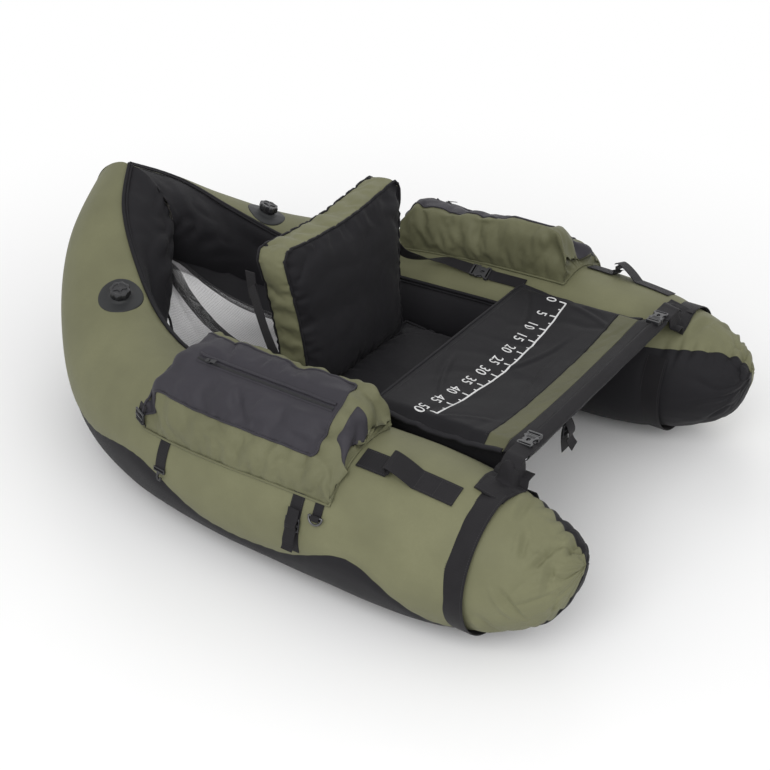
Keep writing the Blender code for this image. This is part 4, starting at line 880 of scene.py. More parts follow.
def make_backrest():
    nx, nz, nd = 56, 46, 12
    verts, faces, sides, keys = box_lattice(nx, nz, nd, back_place)
    shell = make("backrest_shell", verts, faces, body=None, slot="")
    pins = []
    for i, j, k in keys:
        rim = (i in (0, nx)) + (j in (0, nz)) + (k in (0, nd))
        seam = k in (0, nd) and (i in (0, nx) or j in (0, nz))
        pins.append(0.9 if rim == 3 else 0.55 if seam else 0.0)
    inflate(shell, pins, pressure=5.0, grow=0.045, cap=0.013, bending=0.3)
    points = coords_of(shell)
    normals = face_normals_of(points, faces)
    uvs = []
    for index, (i, j, k) in enumerate(keys):
        uvs.append((i / nx * BACK_HALF_WIDTH * 2 + k / nd * BACK_CORE, j / nz * BACK_HALF_HEIGHT * 2))
        rim = i in (0, nx) or j in (0, nz)
        on_side = rim and 0 < k < nd
        if on_side or (k in (0, nd) and not rim):
            u, v, w = 2 * i / nx - 1, 2 * j / nz - 1, 2 * k / nd - 1
            for lift in back_fold(u, v, w, on_side, i in (0, nx), j == nz):
                points[index] += normals[index] * float(lift)
    normals = face_normals_of(points, faces)
    bpy.data.objects.remove(shell)
    for word, side, thickness, colour, node in (
        ("front_cushion", "top", 0.006, "black", "backrest_front_panel"),
        ("boxing", "edge", 0.004, "olive", "backrest_core"),
        ("rear_cushion", "bottom", 0.006, "black", "backrest_rear_panel"),
    ):
        chosen = [face for face, s in zip(faces, sides) if s == side]
        item = skin("backrest_" + word, points, chosen, normals, thickness, uvs, material=colour,
                    body="backrest", replaces=node)
        subdivide(item)
    spot = dict(zip(keys, points))
    for word, layer in (("front", nd), ("rear", 0)):
        tube("backrest_" + word + "_piping", [spot[(i, j, layer)] for i, j in rim_of(nx, nz)], 0.0028,
             closed=True, body="backrest")


# Seat cushion
SEAT_MIDDLE, SEAT_HALF_DEPTH, SEAT_HALF_WIDTH = -0.12625, 0.1346, 0.205
SEAT_LEVEL, SEAT_HALF_HEIGHT, SEAT_DRAW = 0.1183, 0.026, 0.008


def seat_place(u, v, w):
    x = u * (SEAT_HALF_WIDTH - SEAT_DRAW * (1 - v * v))
    y = SEAT_MIDDLE + v * (SEAT_HALF_DEPTH - SEAT_DRAW * (1 - u * u))
    z = SEAT_LEVEL + SEAT_HALF_HEIGHT + w * SEAT_HALF_HEIGHT
    if w > 0.99:
        z += 0.008 * ((1 - u * u) * (1 - v * v)) ** 0.6
    x += 0.001 * fbm(u * 6, v * 6, w * 3 + 5, 2)
    return Vector((x, y, z))


def make_seat():
    nx, ny, nz = 46, 32, 8
    verts, faces, _, keys = box_lattice(nx, ny, nz, seat_place)
    item = make("seat_pad", verts, faces, [(v.x, v.y + v.z) for v in verts], replaces="seat_cushion")
    pins = []
    for i, j, k in keys:
        seam = k in (0, nz) and (i in (0, nx) or j in (0, ny))
        pins.append(1.0 if k == 0 else 0.6 if seam else 0.0)
    inflate(item, pins, pressure=4.0, grow=0.04, cap=0.009, bending=0.3)
    points = coords_of(item)
    for index, key in enumerate(keys):
        if key[2] == nz:
            x, y, _ = points[index]
            points[index][2] += 0.0030 * crumple((x, y, 1.0), 6.0, 1.6)
    points[:, 2] = np.maximum(points[:, 2], SEAT_LEVEL)
    set_coords(item, points)
    subdivide(item)
    spot = dict(zip(keys, points))
    tube("seat_piping", [spot[(i, j, nz)] for i, j in rim_of(nx, ny)], 0.0026, closed=True)


def make_sling():
    """The cloth that spans the pontoons under the seat pad, slack in its middle."""
    low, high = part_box("seat_base")
    middle = [(a + b) / 2 for a, b in zip(low, high)]
    half = [(b - a) / 2 for a, b in zip(low, high)]
    top, under = [], []
    for v in spread(-1, 1, 20):
        line, back = [], []
        for u in spread(-1, 1, 30):
            x = middle[0] + u * half[0]
            y = middle[1] + v * (half[1] - 0.0015 * (1 - u ** 8))
            z = high[2] - 0.0006 - 0.0012 * (1 - u * u) * (1 - v ** 4)
            pull = 0.0016 * noise_at(x * 16, y * 9, 2.0) + 0.0010 * math.sin(y * 240) * abs(u) ** 12
            line.append(Vector((x, y, z)))
            back.append(Vector((x, y, z - 0.0018 - max(0.0, 0.0010 + pull) * (1 - abs(u) ** 20))))
        top.append(line)
        under.append(back)
    item = sheet_from_grid("seat_sling", top, under=under, replaces="seat_base")


# Cargo bags: the left one's sizes. The base follows the pontoon between two turns.
BAG_FRONT, BAG_NOSE, BAG_HEEL = -0.31828, -0.25228, 0.06636
BAG_FOOT, BAG_BACK = -0.3080, 0.1040
BAG_INNER_TURN, BAG_OUTER_TURN = math.radians(111), math.radians(34)
BAG_INNER = Vector((HALF_SPREAD - 0.050, 0, 0.380))
BAG_OUTER = Vector((HALF_SPREAD + 0.096, 0, 0.304))
BAG_OUTER_WALL, BAG_LID_CELLS, BAG_INNER_WALL = 10, 24, 12
BAG_LID_END = BAG_OUTER_WALL + BAG_LID_CELLS
BAG_CELLS = BAG_LID_END + BAG_INNER_WALL
BAG_RINGS = 66
BAG_LOW = 0.016
# The zip pull at rest, and the normal of the plane it slides in
ZIP_START = (0.41923, 0.03636, 0.36796)
ZIP_NORMAL = (0.4137, 0, 0.9104)
ZIP_BED = -0.0050


def bag_lid_point(share):
    """A point over the left bag's top, from its inner to its outer edge, at y = 0."""
    slope = BAG_OUTER - BAG_INNER
    normal = Vector((-slope.z, 0, slope.x)).normalized()
    return BAG_INNER.lerp(BAG_OUTER, share) + normal * (0.016 * 4 * share * (1 - share))


def bag_fullness(y):
    if y < BAG_NOSE:
        return 1 - (1 - (y - BAG_FOOT) / (BAG_NOSE - BAG_FOOT)) ** 3.4
    if y > BAG_HEEL:
        return 1 - 0.42 * ((y - BAG_HEEL) / (BAG_BACK - BAG_HEEL)) ** 2.2
    return 1.0


def bag_y(y, share):
    """The bag's rear end slants: its outer side (share 0) reaches further to the bow."""
    return y + 0.044 * (1 - share) * smooth(-0.03, BAG_BACK, y)


def bag_base_point(y, share):
    turn = BAG_OUTER_TURN + (BAG_INNER_TURN - BAG_OUTER_TURN) * share
    return skin_point(bag_y(y, share), turn, 0.0012)


def bag_ring(y):
    """Base points on the pontoon, then upper points back, from the inner to the outer edge."""
    base = [bag_base_point(y, i / BAG_CELLS) for i in range(BAG_CELLS + 1)]
    outer, inner = base[0], base[-1]
    full = bag_fullness(y)
    slant = 0.016 * smooth(0.0, BAG_BACK, y)
    upper = []
    for i in range(1, BAG_CELLS):
        if i <= BAG_OUTER_WALL:
            t = i / BAG_OUTER_WALL
            top = bag_lid_point(1.0)
            bulge = 0.010 * math.sin(HALF * t)
            high = Vector((outer.x + (top.x - slant - outer.x) * t + bulge, outer.y,
                           outer.z + (top.z - outer.z) * t))
            low = outer + UP * (BAG_LOW * t)
        elif i <= BAG_LID_END:
            t = (i - BAG_OUTER_WALL) / BAG_LID_CELLS
            high = bag_lid_point(1 - t)
            high.x -= slant * (1 - t)
            high.y = bag_y(y, t)
            low = bag_base_point(y, t) + UP * BAG_LOW
        else:
            t = (i - BAG_LID_END) / BAG_INNER_WALL
            top = bag_lid_point(0.0)
            bulge = 0.008 * math.sin(HALF * t)
            high = Vector((top.x + (inner.x - top.x) * t - bulge, y, top.z + (inner.z - top.z) * t))
            low = inner + UP * (BAG_LOW * (1 - t))
        upper.append(low.lerp(high, full))
    return base + upper[::-1]


def bag_mesh(side, seed, ys):
    """The bag's closed mesh before it is filled, with a tag for each face."""
    rings = [bag_ring(y) for y in ys]
    count, around = BAG_CELLS, len(rings[0])
    verts = []
    for ring in rings:
        for j, point in enumerate(ring):
            cell = around - j
            if j > count:
                into = smooth(0.56, 1.0, (cell - BAG_OUTER_WALL) / BAG_LID_CELLS)
                if cell > BAG_LID_END:
                    into = 1 - (cell - BAG_LID_END) / BAG_INNER_WALL
                ahead = 1 - smooth(-0.24, 0.05, point.y)
                point.z += (0.034 if side > 0 else 0.004) * ahead * into
            if j > count or j == 0:
                wobble = 0.0016 * fbm(point.x * 30, point.y * 22 + seed, point.z * 30, 2)
                point += Vector((wobble, wobble * 0.5, wobble))
            point.x *= side
            verts.append(point)
    faces = grid_faces(len(rings), around, closed=True, flip=(side < 0))
    tags = []
    for index in range(len(faces)):
        i, j = index // around, index % around
        slot = around - j - 1
        middle = (ys[i] + ys[i + 1]) / 2
        lid = BAG_OUTER_WALL <= slot < BAG_LID_END - 2
        if middle > BAG_HEEL + 0.012 and BAG_OUTER_WALL - 5 <= slot < BAG_OUTER_WALL:
            lid = True
        tag = "wall"
        if j < count:
            tag = "base"
        elif j > count and lid and middle >= BAG_NOSE:
            tag = "lid"
        elif j > count and BAG_FOOT + 0.002 < middle < BAG_NOSE - 0.022 and \
                BAG_OUTER_WALL + 6 <= slot < BAG_OUTER_WALL + 16:
            tag = "patch"
        tags.append(tag)
    for ring, flip in ((0, side > 0), (len(rings) - 1, side < 0)):
        start = ring * around
        low = [start + j for j in range(count + 1)]
        high = [start] + [start + around - j for j in range(1, count)] + [start + count]
        for j in range(count):
            quad = list(dict.fromkeys((low[j], low[j + 1], high[j + 1], high[j])))
            faces.append(tuple(quad if flip else quad[::-1]))
            tags.append("end")
    return verts, faces, tags, around


def bag_pins(ys, around):
    """Where the filled bag is held: its base, its lid's long edges and its ends."""
    pins = []
    for i, y in enumerate(ys):
        for j in range(around):
            held = 0.0
            if j <= BAG_CELLS:
                held = 1.0
            elif around - j in (BAG_OUTER_WALL, BAG_LID_END) and BAG_NOSE <= y <= BAG_HEEL:
                held = 0.30
            elif i in (0, len(ys) - 1):
                held = 0.5
            pins.append(held)
    return pins


def bag_lift(point, y, cell, on_lid, seed):
    """How far the bag's cloth lifts at a point in its folds."""
    nose = 1 - smooth(BAG_NOSE - 0.010, BAG_NOSE + 0.040, y)
    heel = smooth(BAG_HEEL - 0.020, BAG_HEEL + 0.010, y)
    along, high, size = (0.8, 1.0, 1.15) if on_lid else (1.5, 0.45, 0.85)
    fold = crumple((point[0], point[1] * along, point[2] * high), seed, size)
    lift = (0.0074 + 0.0060 * nose + 0.0030 * heel) * fold
    if nose > 0:
        ridge = math.sin(HALF * (cell - BAG_OUTER_WALL) / BAG_LID_CELLS * 3.2 + 0.6)
        lift += 0.0075 * nose * (abs(ridge) ** 0.6 - 0.7)
    return min(min(cell, BAG_CELLS - cell) / 6, 1.0) * lift


def seat_zip(point, side):
    """Bring the lid to the level that the zip pull slides over, and no higher."""
    lean, rise = ZIP_NORMAL[0], ZIP_NORMAL[2]
    off_x, off_z = abs(point[0]) - ZIP_START[0], point[2] - ZIP_START[2]
    high = off_x * lean + off_z * rise
    over = abs(off_x * rise - off_z * lean)
    room = ZIP_BED + 0.020 * smooth(0.014, 0.050, over)
    shift = 0.0
    if high > room:
        shift = high - room if -0.262 < point[1] < 0.058 else 0.0
    elif high < ZIP_BED:
        near = 1 - smooth(0.012, 0.046, over)
        near *= smooth(-0.285, -0.258, point[1]) * (1 - smooth(0.056, 0.080, point[1]))
        shift = -near * min(ZIP_BED - high, 0.020)
    point[0] -= shift * lean * side
    point[2] -= shift * rise


def make_bag(side_name, side):
    seed = 3.0 if side > 0 else 11.0
    ys = spread(BAG_FOOT, BAG_BACK, BAG_RINGS)
    verts, faces, tags, around = bag_mesh(side, seed, ys)
    shell = make(side_name + "_bag_shell", verts, faces, body=None, slot="")
    inflate(shell, bag_pins(ys, around), pressure=3.0, grow=0.055, cap=0.013, bending=0.2, frames=22)
    points = coords_of(shell)
    bpy.data.objects.remove(shell)
    normals = face_normals_of(points, faces)
    for i in range(len(ys)):
        for j in range(around):
            if 0 < j <= BAG_CELLS:
                continue
            cell = around - j if j else 0
            index = i * around + j
            point = points[index]
            on_lid = BAG_OUTER_WALL < cell < BAG_LID_END
            point += normals[index] * float(bag_lift(point, point[1], cell, on_lid, seed))
            if on_lid:
                seat_zip(point, side)
    normals = face_normals_of(points, faces)
    uvs = [(j * 0.0052, y) for y in ys for j in range(around)]
    name = side_name + "_bag_"
    body = make(name + "cloth", points, faces, uvs, material="bag_olive", replaces=name + "body")
    subdivide(body)
    for word, tag, thickness, lift, flat, node in (
        ("cover", "lid", 0.0022, 0.0014, (0.365, 0.185), name + "lid"),
        ("patch", "patch", 0.0020, 0.0012, (0.070, 0.036), None),
    ):
        chosen = [face for face, t in zip(faces, tags) if t == tag]
        item = skin(name + word, points, chosen, normals, thickness, uvs, lift=lift,
                    material="bag_black", replaces=node)
        subdivide(item)
    follow = dict(open_edges([face for face, tag in zip(faces, tags) if tag == "lid"]))
    start = next(iter(follow))
    loop, spot = [start], follow[start]
    while spot != start:
        loop.append(spot)
        spot = follow[spot]
    path = [Vector(points[k]) + Vector(normals[k]) * 0.0012 for k in loop]
    path = [(path[i - 1] + path[i] * 2 + path[(i + 1) % len(path)]) / 4 for i in range(len(path))]
    tube(name + "binding", path, 0.0024, closed=True, material="bag_black")
    path = []
    for j, i in rim_of(BAG_RINGS, BAG_CELLS):
        point = Vector(points[j * around + i])
        centre = hull_centre(place_at(point.y), side)
        path.append(point + (point - centre).normalized() * 0.0014)
    tube(name + "foot_piping", path, 0.0026, closed=True, material="bag_olive")


# ---- straps, mouldings and stitches ----
def strap(name, points, normals, width, thickness=0.0016, **options):
    """A flat strap with softened edges along points, with its UVs in metres."""
    half, soft = width / 2, 0.0006
    profile = ((-half, 0.0), (-half - soft, thickness / 2), (-half, thickness),
               (-half / 3, thickness * 1.04), (half / 3, thickness * 1.04),
               (half, thickness), (half + soft, thickness / 2), (half, 0.0))
    points = [Vector(p) for p in points]
    count = len(points)
    verts, uvs = [], []
    along = 0.0
    for i, (point, normal) in enumerate(zip(points, normals)):
        run = (points[min(i + 1, count - 1)] - points[max(i - 1, 0)]).normalized()
        normal = (normal - run * normal.dot(run)).normalized()
        across = normal.cross(run)
        if i:
            along += (point - points[i - 1]).length
        for offset, height in profile:
            verts.append(point + across * offset + normal * height)
            uvs.append((offset + half, along))
    options.setdefault("material", "webbing")
    item = make(name, verts, loft(count, len(profile), flip=True), uvs, **options)
    item.data.set_sharp_from_angle(angle=math.radians(50))
    return item


def along_path(points, normals, spacing):
    """Evenly spaced places on a path with their run and normal."""
    out = []
    carry = spacing / 2
    for a, b, normal in zip(points, points[1:], normals):
        length = (b - a).length
        run = (b - a).normalized()
        while carry < length:
            out.append((a + run * carry, run, normal))
            carry += spacing
        carry -= length
    return out


def stitches(name, rows, spacing=0.0034, length=0.0024, radius=0.00032, **options):
    """Short raised threads along rows of (points, normals), as one piece."""
    verts, faces = [], []
    for points, normals in rows:
        for place, run, normal in along_path(points, normals, spacing):
            across = normal.cross(run).normalized()
            faces += loft(4, 5, len(verts), flip=True)
            for step, swell in ((-0.5, 0.35), (-0.25, 1.0), (0.25, 1.0), (0.5, 0.35)):
                middle = place + run * (length * step)
                for j in range(5):
                    angle = FULL * j / 5
                    verts.append(middle + across * (radius * 1.3 * swell * math.cos(angle))
                                 + normal * (radius * swell * math.sin(angle)))
    return make(name, verts, faces, material="thread", **options)


def edge_rows(points, normals, width, thickness, inset=0.0022):
    """The two stitch lines along a strap's edges."""
    rows = []
    count = len(points)
    for s in (-1, 1):
        line = []
        for i, (point, normal) in enumerate(zip(points, normals)):
            run = (points[min(i + 1, count - 1)] - points[max(i - 1, 0)]).normalized()
            across = normal.cross(run).normalized()
            line.append(point + across * (s * (width / 2 - inset)) + normal * thickness)
        rows.append((line, normals))
    return rows


def curve_mesh(curve):
    """The points and faces that a curve or a text fills, and the curve is dropped."""
    item = bpy.data.objects.new("outline", curve)
    bpy.context.scene.collection.objects.link(item)
    bpy.context.view_layer.update()
    mesh = bpy.data.meshes.new_from_object(item.evaluated_get(bpy.context.evaluated_depsgraph_get()))
    bpy.data.objects.remove(item)
    bpy.data.curves.remove(curve)
    verts = [v.co.copy() for v in mesh.vertices]
    faces = [tuple(p.vertices) for p in mesh.polygons]
    bpy.data.meshes.remove(mesh)
    return verts, faces


def plate(outline, holes, thickness, bevel=0.0005):
    """A flat moulding with rounded rims from 2-D outlines, centred on its mid plane."""
    curve = bpy.data.curves.new("plate", "CURVE")
    curve.dimensions = "2D"
    curve.fill_mode = "BOTH"
    curve.extrude = max(thickness / 2 - bevel, 0.00005)
    curve.bevel_depth = bevel
    curve.bevel_resolution = 2
    curve.offset = -bevel
    for loop in [outline] + holes:
        spline = curve.splines.new("POLY")
        spline.points.add(len(loop) - 1)
        for point, (x, y) in zip(spline.points, loop):
            point.co = (x, y, 0, 1)
        spline.use_cyclic_u = True
    return curve_mesh(curve)


def rounded(points, radius, steps=4):
    """A 2-D outline with its corners rounded."""
    out = []
    count = len(points)
    for i in range(count):
        a, b, c = (Vector((*points[(i + d) % count], 0)) for d in (-1, 0, 1))
        before, after = (a - b), (c - b)
        reach = min(radius, before.length * 0.45, after.length * 0.45)
        p, q = b + before.normalized() * reach, b + after.normalized() * reach
        for t in spread(0, 1, steps):
            point = p.lerp(b, t).lerp(b.lerp(q, t), t)
            out.append((point.x, point.y))
    return out


def rectangle(x0, x1, y0, y1):
    return [(x0, y0), (x1, y0), (x1, y1), (x0, y1)]


def moved(mesh, matrix):
    verts, faces = mesh
    return [matrix @ v for v in verts], faces


def raised(mesh, z):
    return moved(mesh, Matrix.Translation((0, 0, z)))


def block(x0, x1, y0, y1, z0, z1, bevel=0.0005):
    return raised(plate(rounded(rectangle(x0, x1, y0, y1), bevel * 2, 2), [], z1 - z0, bevel),
                  (z0 + z1) / 2)


def both_sides(half):
    """A closed 2-D outline from its upper half."""
    return half + [(x, -y) for x, y in reversed(half)]


def assemble(name, parts, matrix, body="hull", replaces=None):
    """Several meshes as one plastic moulding, placed by a matrix."""
    verts, faces = [], []
    for part in parts:
        start = len(verts)
        placed, part_faces = moved(part, matrix)
        verts += placed
        faces += [tuple(start + i for i in face) for face in part_faces]
    item = make(name, verts, faces, material="plastic", body=body, replaces=replaces)
    item.data.set_sharp_from_angle(angle=math.radians(40))


def axes(origin, forward, up, side=1):
    """A frame with X forward and Z up; the right side's is the left's mirrored in x."""
    origin, forward, up = Vector(origin), Vector(forward), Vector(up)
    for v in (origin, forward, up):
        v.x *= side
    x_axis = forward.normalized()
    z_axis = (up - x_axis * up.dot(x_axis)).normalized()
    y_axis = z_axis.cross(x_axis)
    return Matrix.Translation(origin) @ Matrix((x_axis, y_axis, z_axis)).transposed().to_4x4()


def up_of(matrix):
    return (matrix.to_3x3() @ UP).normalized()


BUCKLE_LENGTH, BUCKLE_WIDTH, BUCKLE_HEIGHT = 0.034, 0.030, 0.0085
BUCKLES = {
    "back": ((0.31466, -0.12157, 0.28019), (0, 1, 0), (-0.515, 0, 0.8572)),
    "bar": ((0.268, -0.5548, 0.3254), (-1, 0, 0), (0, 0, 1)),
}


def female_half():
    """The case of a side-release buckle: two shells, open side arches and a webbing slot."""
    long, wide, high = BUCKLE_LENGTH / 2, BUCKLE_WIDTH / 2, BUCKLE_HEIGHT
    arch = [(long * 0.62, wide), (long * 0.50, wide * 0.80), (long * 0.20, wide * 0.66),
            (-long * 0.10, wide * 0.66), (-long * 0.34, wide * 0.82), (-long * 0.42, wide)]
    outline = rounded(both_sides([(long, wide * 0.86), (long * 0.80, wide)] + arch
                                 + [(-long * 0.86, wide), (-long, wide * 0.86)]), 0.0014, 3)
    slot = rounded(rectangle(-long + 0.0026, -long + 0.0062, -wide * 0.78, wide * 0.78), 0.0008, 2)
    window = rounded(rectangle(-long * 0.22, long * 0.30, -wide * 0.20, wide * 0.20), 0.0016, 3)
    parts = [
        raised(plate(outline, [slot], 0.0020, 0.0006), 0.0011),
        raised(plate(outline, [slot, window], 0.0020, 0.0006), high - 0.0011),
        block(-long, -long + 0.0026, -wide * 0.90, wide * 0.90, 0.0012, high - 0.0012),
        block(-long + 0.0062, -long * 0.40, -wide * 0.90, wide * 0.90, 0.0016, high - 0.0016),
        block(long * 0.60, long * 0.96, -wide * 0.99, -wide * 0.86, 0.0012, high - 0.0012),
        block(long * 0.60, long * 0.96, wide * 0.86, wide * 0.99, 0.0012, high - 0.0012),
    ]
    for k in range(3):
        x = long * (0.46 + 0.15 * k)
        parts.append(block(x, x + 0.0009, -wide * 0.55, wide * 0.55, high - 0.0004, high + 0.0004, 0.0003))
    return parts


def male_half():
    """Tongue, two sprung prongs with release pads and the webbing head."""
    long, wide, middle = BUCKLE_LENGTH / 2, BUCKLE_WIDTH / 2, BUCKLE_HEIGHT / 2
    inner, tip, head = wide - 0.0037, long - 0.0222, long + 0.0005
    half = [(long, inner * 0.98), (long * 0.60, inner * 0.98), (long * 0.36, inner * 1.16),
            (long * 0.05, inner * 1.18), (-long * 0.12, inner * 1.02), (tip, inner * 0.72),
            (tip, inner * 0.46), (long * 0.10, inner * 0.66), (long * 0.55, inner * 0.62),
            (long * 0.74, inner * 0.34), (long * 0.74, inner * 0.20), (tip * 0.6, inner * 0.13)]
    slot = rounded(rectangle(head + 0.0036, head + 0.0072, -wide * 0.74, wide * 0.74), 0.0008, 2)
    body = both_sides([(head, wide * 0.94), (head + 0.0118, wide * 0.94)])
    return [
        raised(plate(rounded(both_sides(half), 0.0009, 3), [], 0.0040, 0.0006), middle),
        raised(plate(rounded(body, 0.0016, 3), [slot], BUCKLE_HEIGHT - 0.0006, 0.0009), middle),
        block(long - 0.0012, head + 0.0016, -inner * 0.9, inner * 0.9, middle - 0.0018, middle + 0.0018),
    ]


def make_buckles():
    for side_name, side in SIDES:
        for kind, spot in BUCKLES.items():
            matrix = axes(*spot, side)
            name = side_name + "_" + kind + "_buckle"
            assemble(name + "_case", female_half(), matrix, replaces=name + "_body")
            assemble(name + "_prongs", male_half(), matrix, side_name + "_" + kind + "_plug",
                     name + "_plug")


# ---- apron and bar ----
BAR_Y, BAR_Z, BAR_RADIUS = share_to_y(0.120), 0.312, 0.011
SLEEVE_HALF = 0.285
APRON_HALF, APRON_EDGE = 0.262, 0.023
APRON_SIDE = APRON_HALF + APRON_EDGE
APRON_FRONT, APRON_HEM, APRON_BAND, APRON_REAR = -0.5416, -0.5156, -0.4736, share_to_y(0.339)
APRON_SAG = 0.024
# Each crease's middle, its direction, its half length and its depth
APRON_CREASES = (
    (0.190, -0.300, math.radians(205), 0.070, 0.0030), (0.060, -0.400, math.radians(160), 0.080, 0.0026),
    (-0.120, -0.290, math.radians(22), 0.075, 0.0028), (0.235, -0.420, math.radians(250), 0.055, 0.0030),
    (-0.235, -0.400, math.radians(-60), 0.060, 0.0028), (-0.020, -0.440, math.radians(8), 0.090, 0.0022),
)


def apron_point(x, y, lift=0.0):
    """A point of the apron's cloth, which sags between its edges and folds over them."""
    share = (y - BAR_Y) / (APRON_REAR - BAR_Y)
    level = BAR_Z + 0.0010 - 0.010 * share
    across = min(abs(x) / APRON_HALF, 1) ** 2
    hollow = math.sin(HALF * min(share, 1)) ** 0.9 if 0 < share < 1 else 0
    level -= APRON_SAG * (1 - across) * hollow
    level -= (0.005 + 0.015 * hollow) * smooth(APRON_HALF - 0.006, APRON_SIDE, abs(x)) * min(share * 8, 1)
    level += 0.0030 * (1 - across * 0.4) * fbm(x * 7, y * 9, 2.0, 3) * (0.3 + 0.7 * hollow)
    diagonal = noise_at(x * 4 + y * 9, x * 9 - y * 3, 5.0)
    level += 0.0026 * hollow * (min(abs(diagonal) * 4.5, 1) - 0.6)
    edge = smooth(APRON_HALF - 0.060, APRON_SIDE, abs(x))
    level += 0.0050 * edge * hollow * noise_at(y * 17, x * 3, 8.0)
    for x0, y0, angle, reach, deep in APRON_CREASES:
        along = (x - x0) * math.cos(angle) + (y - y0) * math.sin(angle)
        off = (y - y0) * math.cos(angle) - (x - x0) * math.sin(angle) + 0.10 * along * along / reach
        if abs(along) < reach * 1.5:
            level += deep * math.exp(-(along / reach) ** 4) * \
                (math.exp(-(off / 0.0045) ** 2) - 0.6 * math.exp(-((off - 0.010) / 0.006) ** 2))
    return Vector((x, y, level + lift))


def apron_grid(front, rear, rows, columns, lift):
    """The apron's cloth between two lines, lifted along its normals."""
    grid = [[apron_point(x, y) for x in spread(-APRON_SIDE, APRON_SIDE, columns)]
            for y in spread(front, rear, rows)]
    normals = iter(grid_normals(grid))
    return [[point + next(normals) * lift for point in row] for row in grid]


def make_apron_edges(side_name, side):
    """The rolled binding at one end of the apron and the flap that hangs from it."""
    path = []
    for y in spread(APRON_HEM + 0.002, APRON_REAR - 0.001, 90):
        point = apron_point(side * (APRON_SIDE - 0.002), y, 0.0016 + 0.0022 * noise_at(y * 34, side, 0))
        point.x += side * 0.0030 * noise_at(y * 30, side, 7)
        path.append(point)
    tube("apron_" + side_name + "_binding", path, 0.0066, squeeze=0.62, sides=12, body="apron")
    grid = []
    for t in spread(0, 1, 14):
        row = []
        for y in spread(APRON_HEM - 0.008, APRON_REAR - 0.004, 70):
            high = apron_point(side * (APRON_SIDE - 0.003), y)
            ground = skin_height(0.268, y) + 0.0030
            flare = 0.0020 * math.sin(HALF * t) * noise_at(y * 22, t * 2, side)
            row.append(Vector((high.x + side * (flare - 0.014 * t), y, high.z + (ground - high.z) * t)))
        grid.append(row if side < 0 else row[::-1])
    item = sheet_from_grid("apron_" + side_name + "_flap", grid, 0.0014, body="apron")


def make_apron():
    wide = APRON_SIDE * 2
    hem = apron_grid(APRON_FRONT, APRON_HEM - 0.0004, 8, 96, 0.0024)
    item = sheet_from_grid("apron_hem_webbing", hem, 0.0020, material="webbing", replaces="apron_hem")
    band = []
    for i, y in enumerate(spread(APRON_HEM + 0.0004, APRON_BAND - 0.0006, 14)):
        pucker = 0.0050 * math.sin(HALF * i / 14)
        row = []
        for x in spread(-wide / 2, wide / 2, 150):
            ridge = abs(noise_at(x * 17 + y * 22, y * 8 - x * 3, 3))
            patchy = 0.4 + 0.6 * smooth(-0.2, 0.3, noise_at(x * 5, 1.0, 6))
            row.append(apron_point(x, y, 0.0024 + pucker * patchy * (min(ridge * 4, 1) - 0.5)
                                   + 0.0012 * noise_at(x * 60, y * 20, 9)))
        band.append(row)
    item = sheet_from_grid("apron_band_cloth", band, 0.0018, material="apron_olive", body="apron",
                           replaces="apron_band")
    panel = apron_grid(APRON_BAND, APRON_REAR, 64, 120, 0.0020)
    item = sheet_from_grid("apron_panel_cloth", panel, 0.0018, material="apron", body="apron",
                           replaces="apron_panel")
    for side_name, side in SIDES:
        make_apron_edges(side_name, side)
    reach = APRON_SIDE - 0.002
    path = [apron_point(x, APRON_REAR - 0.001, 0.0018) for x in spread(-reach, reach, 90)]
    tube("apron_rear_roll", path, 0.0030, squeeze=0.8, sides=10, body="apron")
    rows = []
    for y in (APRON_REAR - 0.012, APRON_BAND + 0.0035, APRON_BAND + 0.0065):
        points = [apron_point(x, y, 0.0023) for x in spread(-0.27, 0.27, 80)]
        rows.append((points, [UP] * len(points)))
    stitches("apron_stitching", rows, spacing=0.0050, length=0.0036, radius=0.00038, body="apron",
             slot="black_fabric")
    make_ruler()


RULER_Y, RULER_BOW, RULER_HALF = -0.357, 0.013, 0.25


def ruler_y(x):
    return RULER_Y - RULER_BOW * (1 - (x / RULER_HALF) ** 2)


def make_ruler():
    """A 50 cm measuring line with ticks and numbers, lying on the apron."""
    end = RULER_HALF + 0.0005
    strokes = [([(x, ruler_y(x)) for x in spread(-end, end, 100)], 0.0034)]
    for half_step in range(21):
        x = RULER_HALF - half_step * 0.025
        reach = 0.0065 if half_step % 2 else 0.015
        strokes.append(([(x, ruler_y(x) + t) for t in spread(0, reach, 4)], 0.0030))
    verts, faces = [], []
    for path, width in strokes:
        faces += loft(len(path), 4, len(verts))
        for i, (x, y) in enumerate(path):
            before, after = path[max(i - 1, 0)], path[min(i + 1, len(path) - 1)]
            run = Vector((after[0] - before[0], after[1] - before[1], 0)).normalized()
            across = Vector((-run.y, run.x, 0)) * (width / 2)
            for s, lift in ((-1, 0.0021), (-1, 0.0026), (1, 0.0026), (1, 0.0021)):
                verts.append(apron_point(x + across.x * s, y + across.y * s, lift))
    make("apron_ruler_line", verts, faces, material="ink", body="apron", smooth=False)
    for step in range(11):
        x = RULER_HALF - step * 0.05
        text = bpy.data.curves.new("number", "FONT")
        for key, value in (("body", str(step * 5)), ("size", 0.0318), ("align_x", "CENTER"),
                           ("align_y", "TOP"), ("extrude", 0.00025), ("space_character", 1.05),
                           ("resolution_u", 4)):
            setattr(text, key, value)
        verts, faces = curve_mesh(text)
        top = ruler_y(x) + 0.019
        make("apron_number_%02d" % (step * 5),
             [apron_point(x - v.x * 0.88, top - v.y, 0.0024 + v.z) for v in verts], faces,
             material="ink", body="apron", smooth=False)


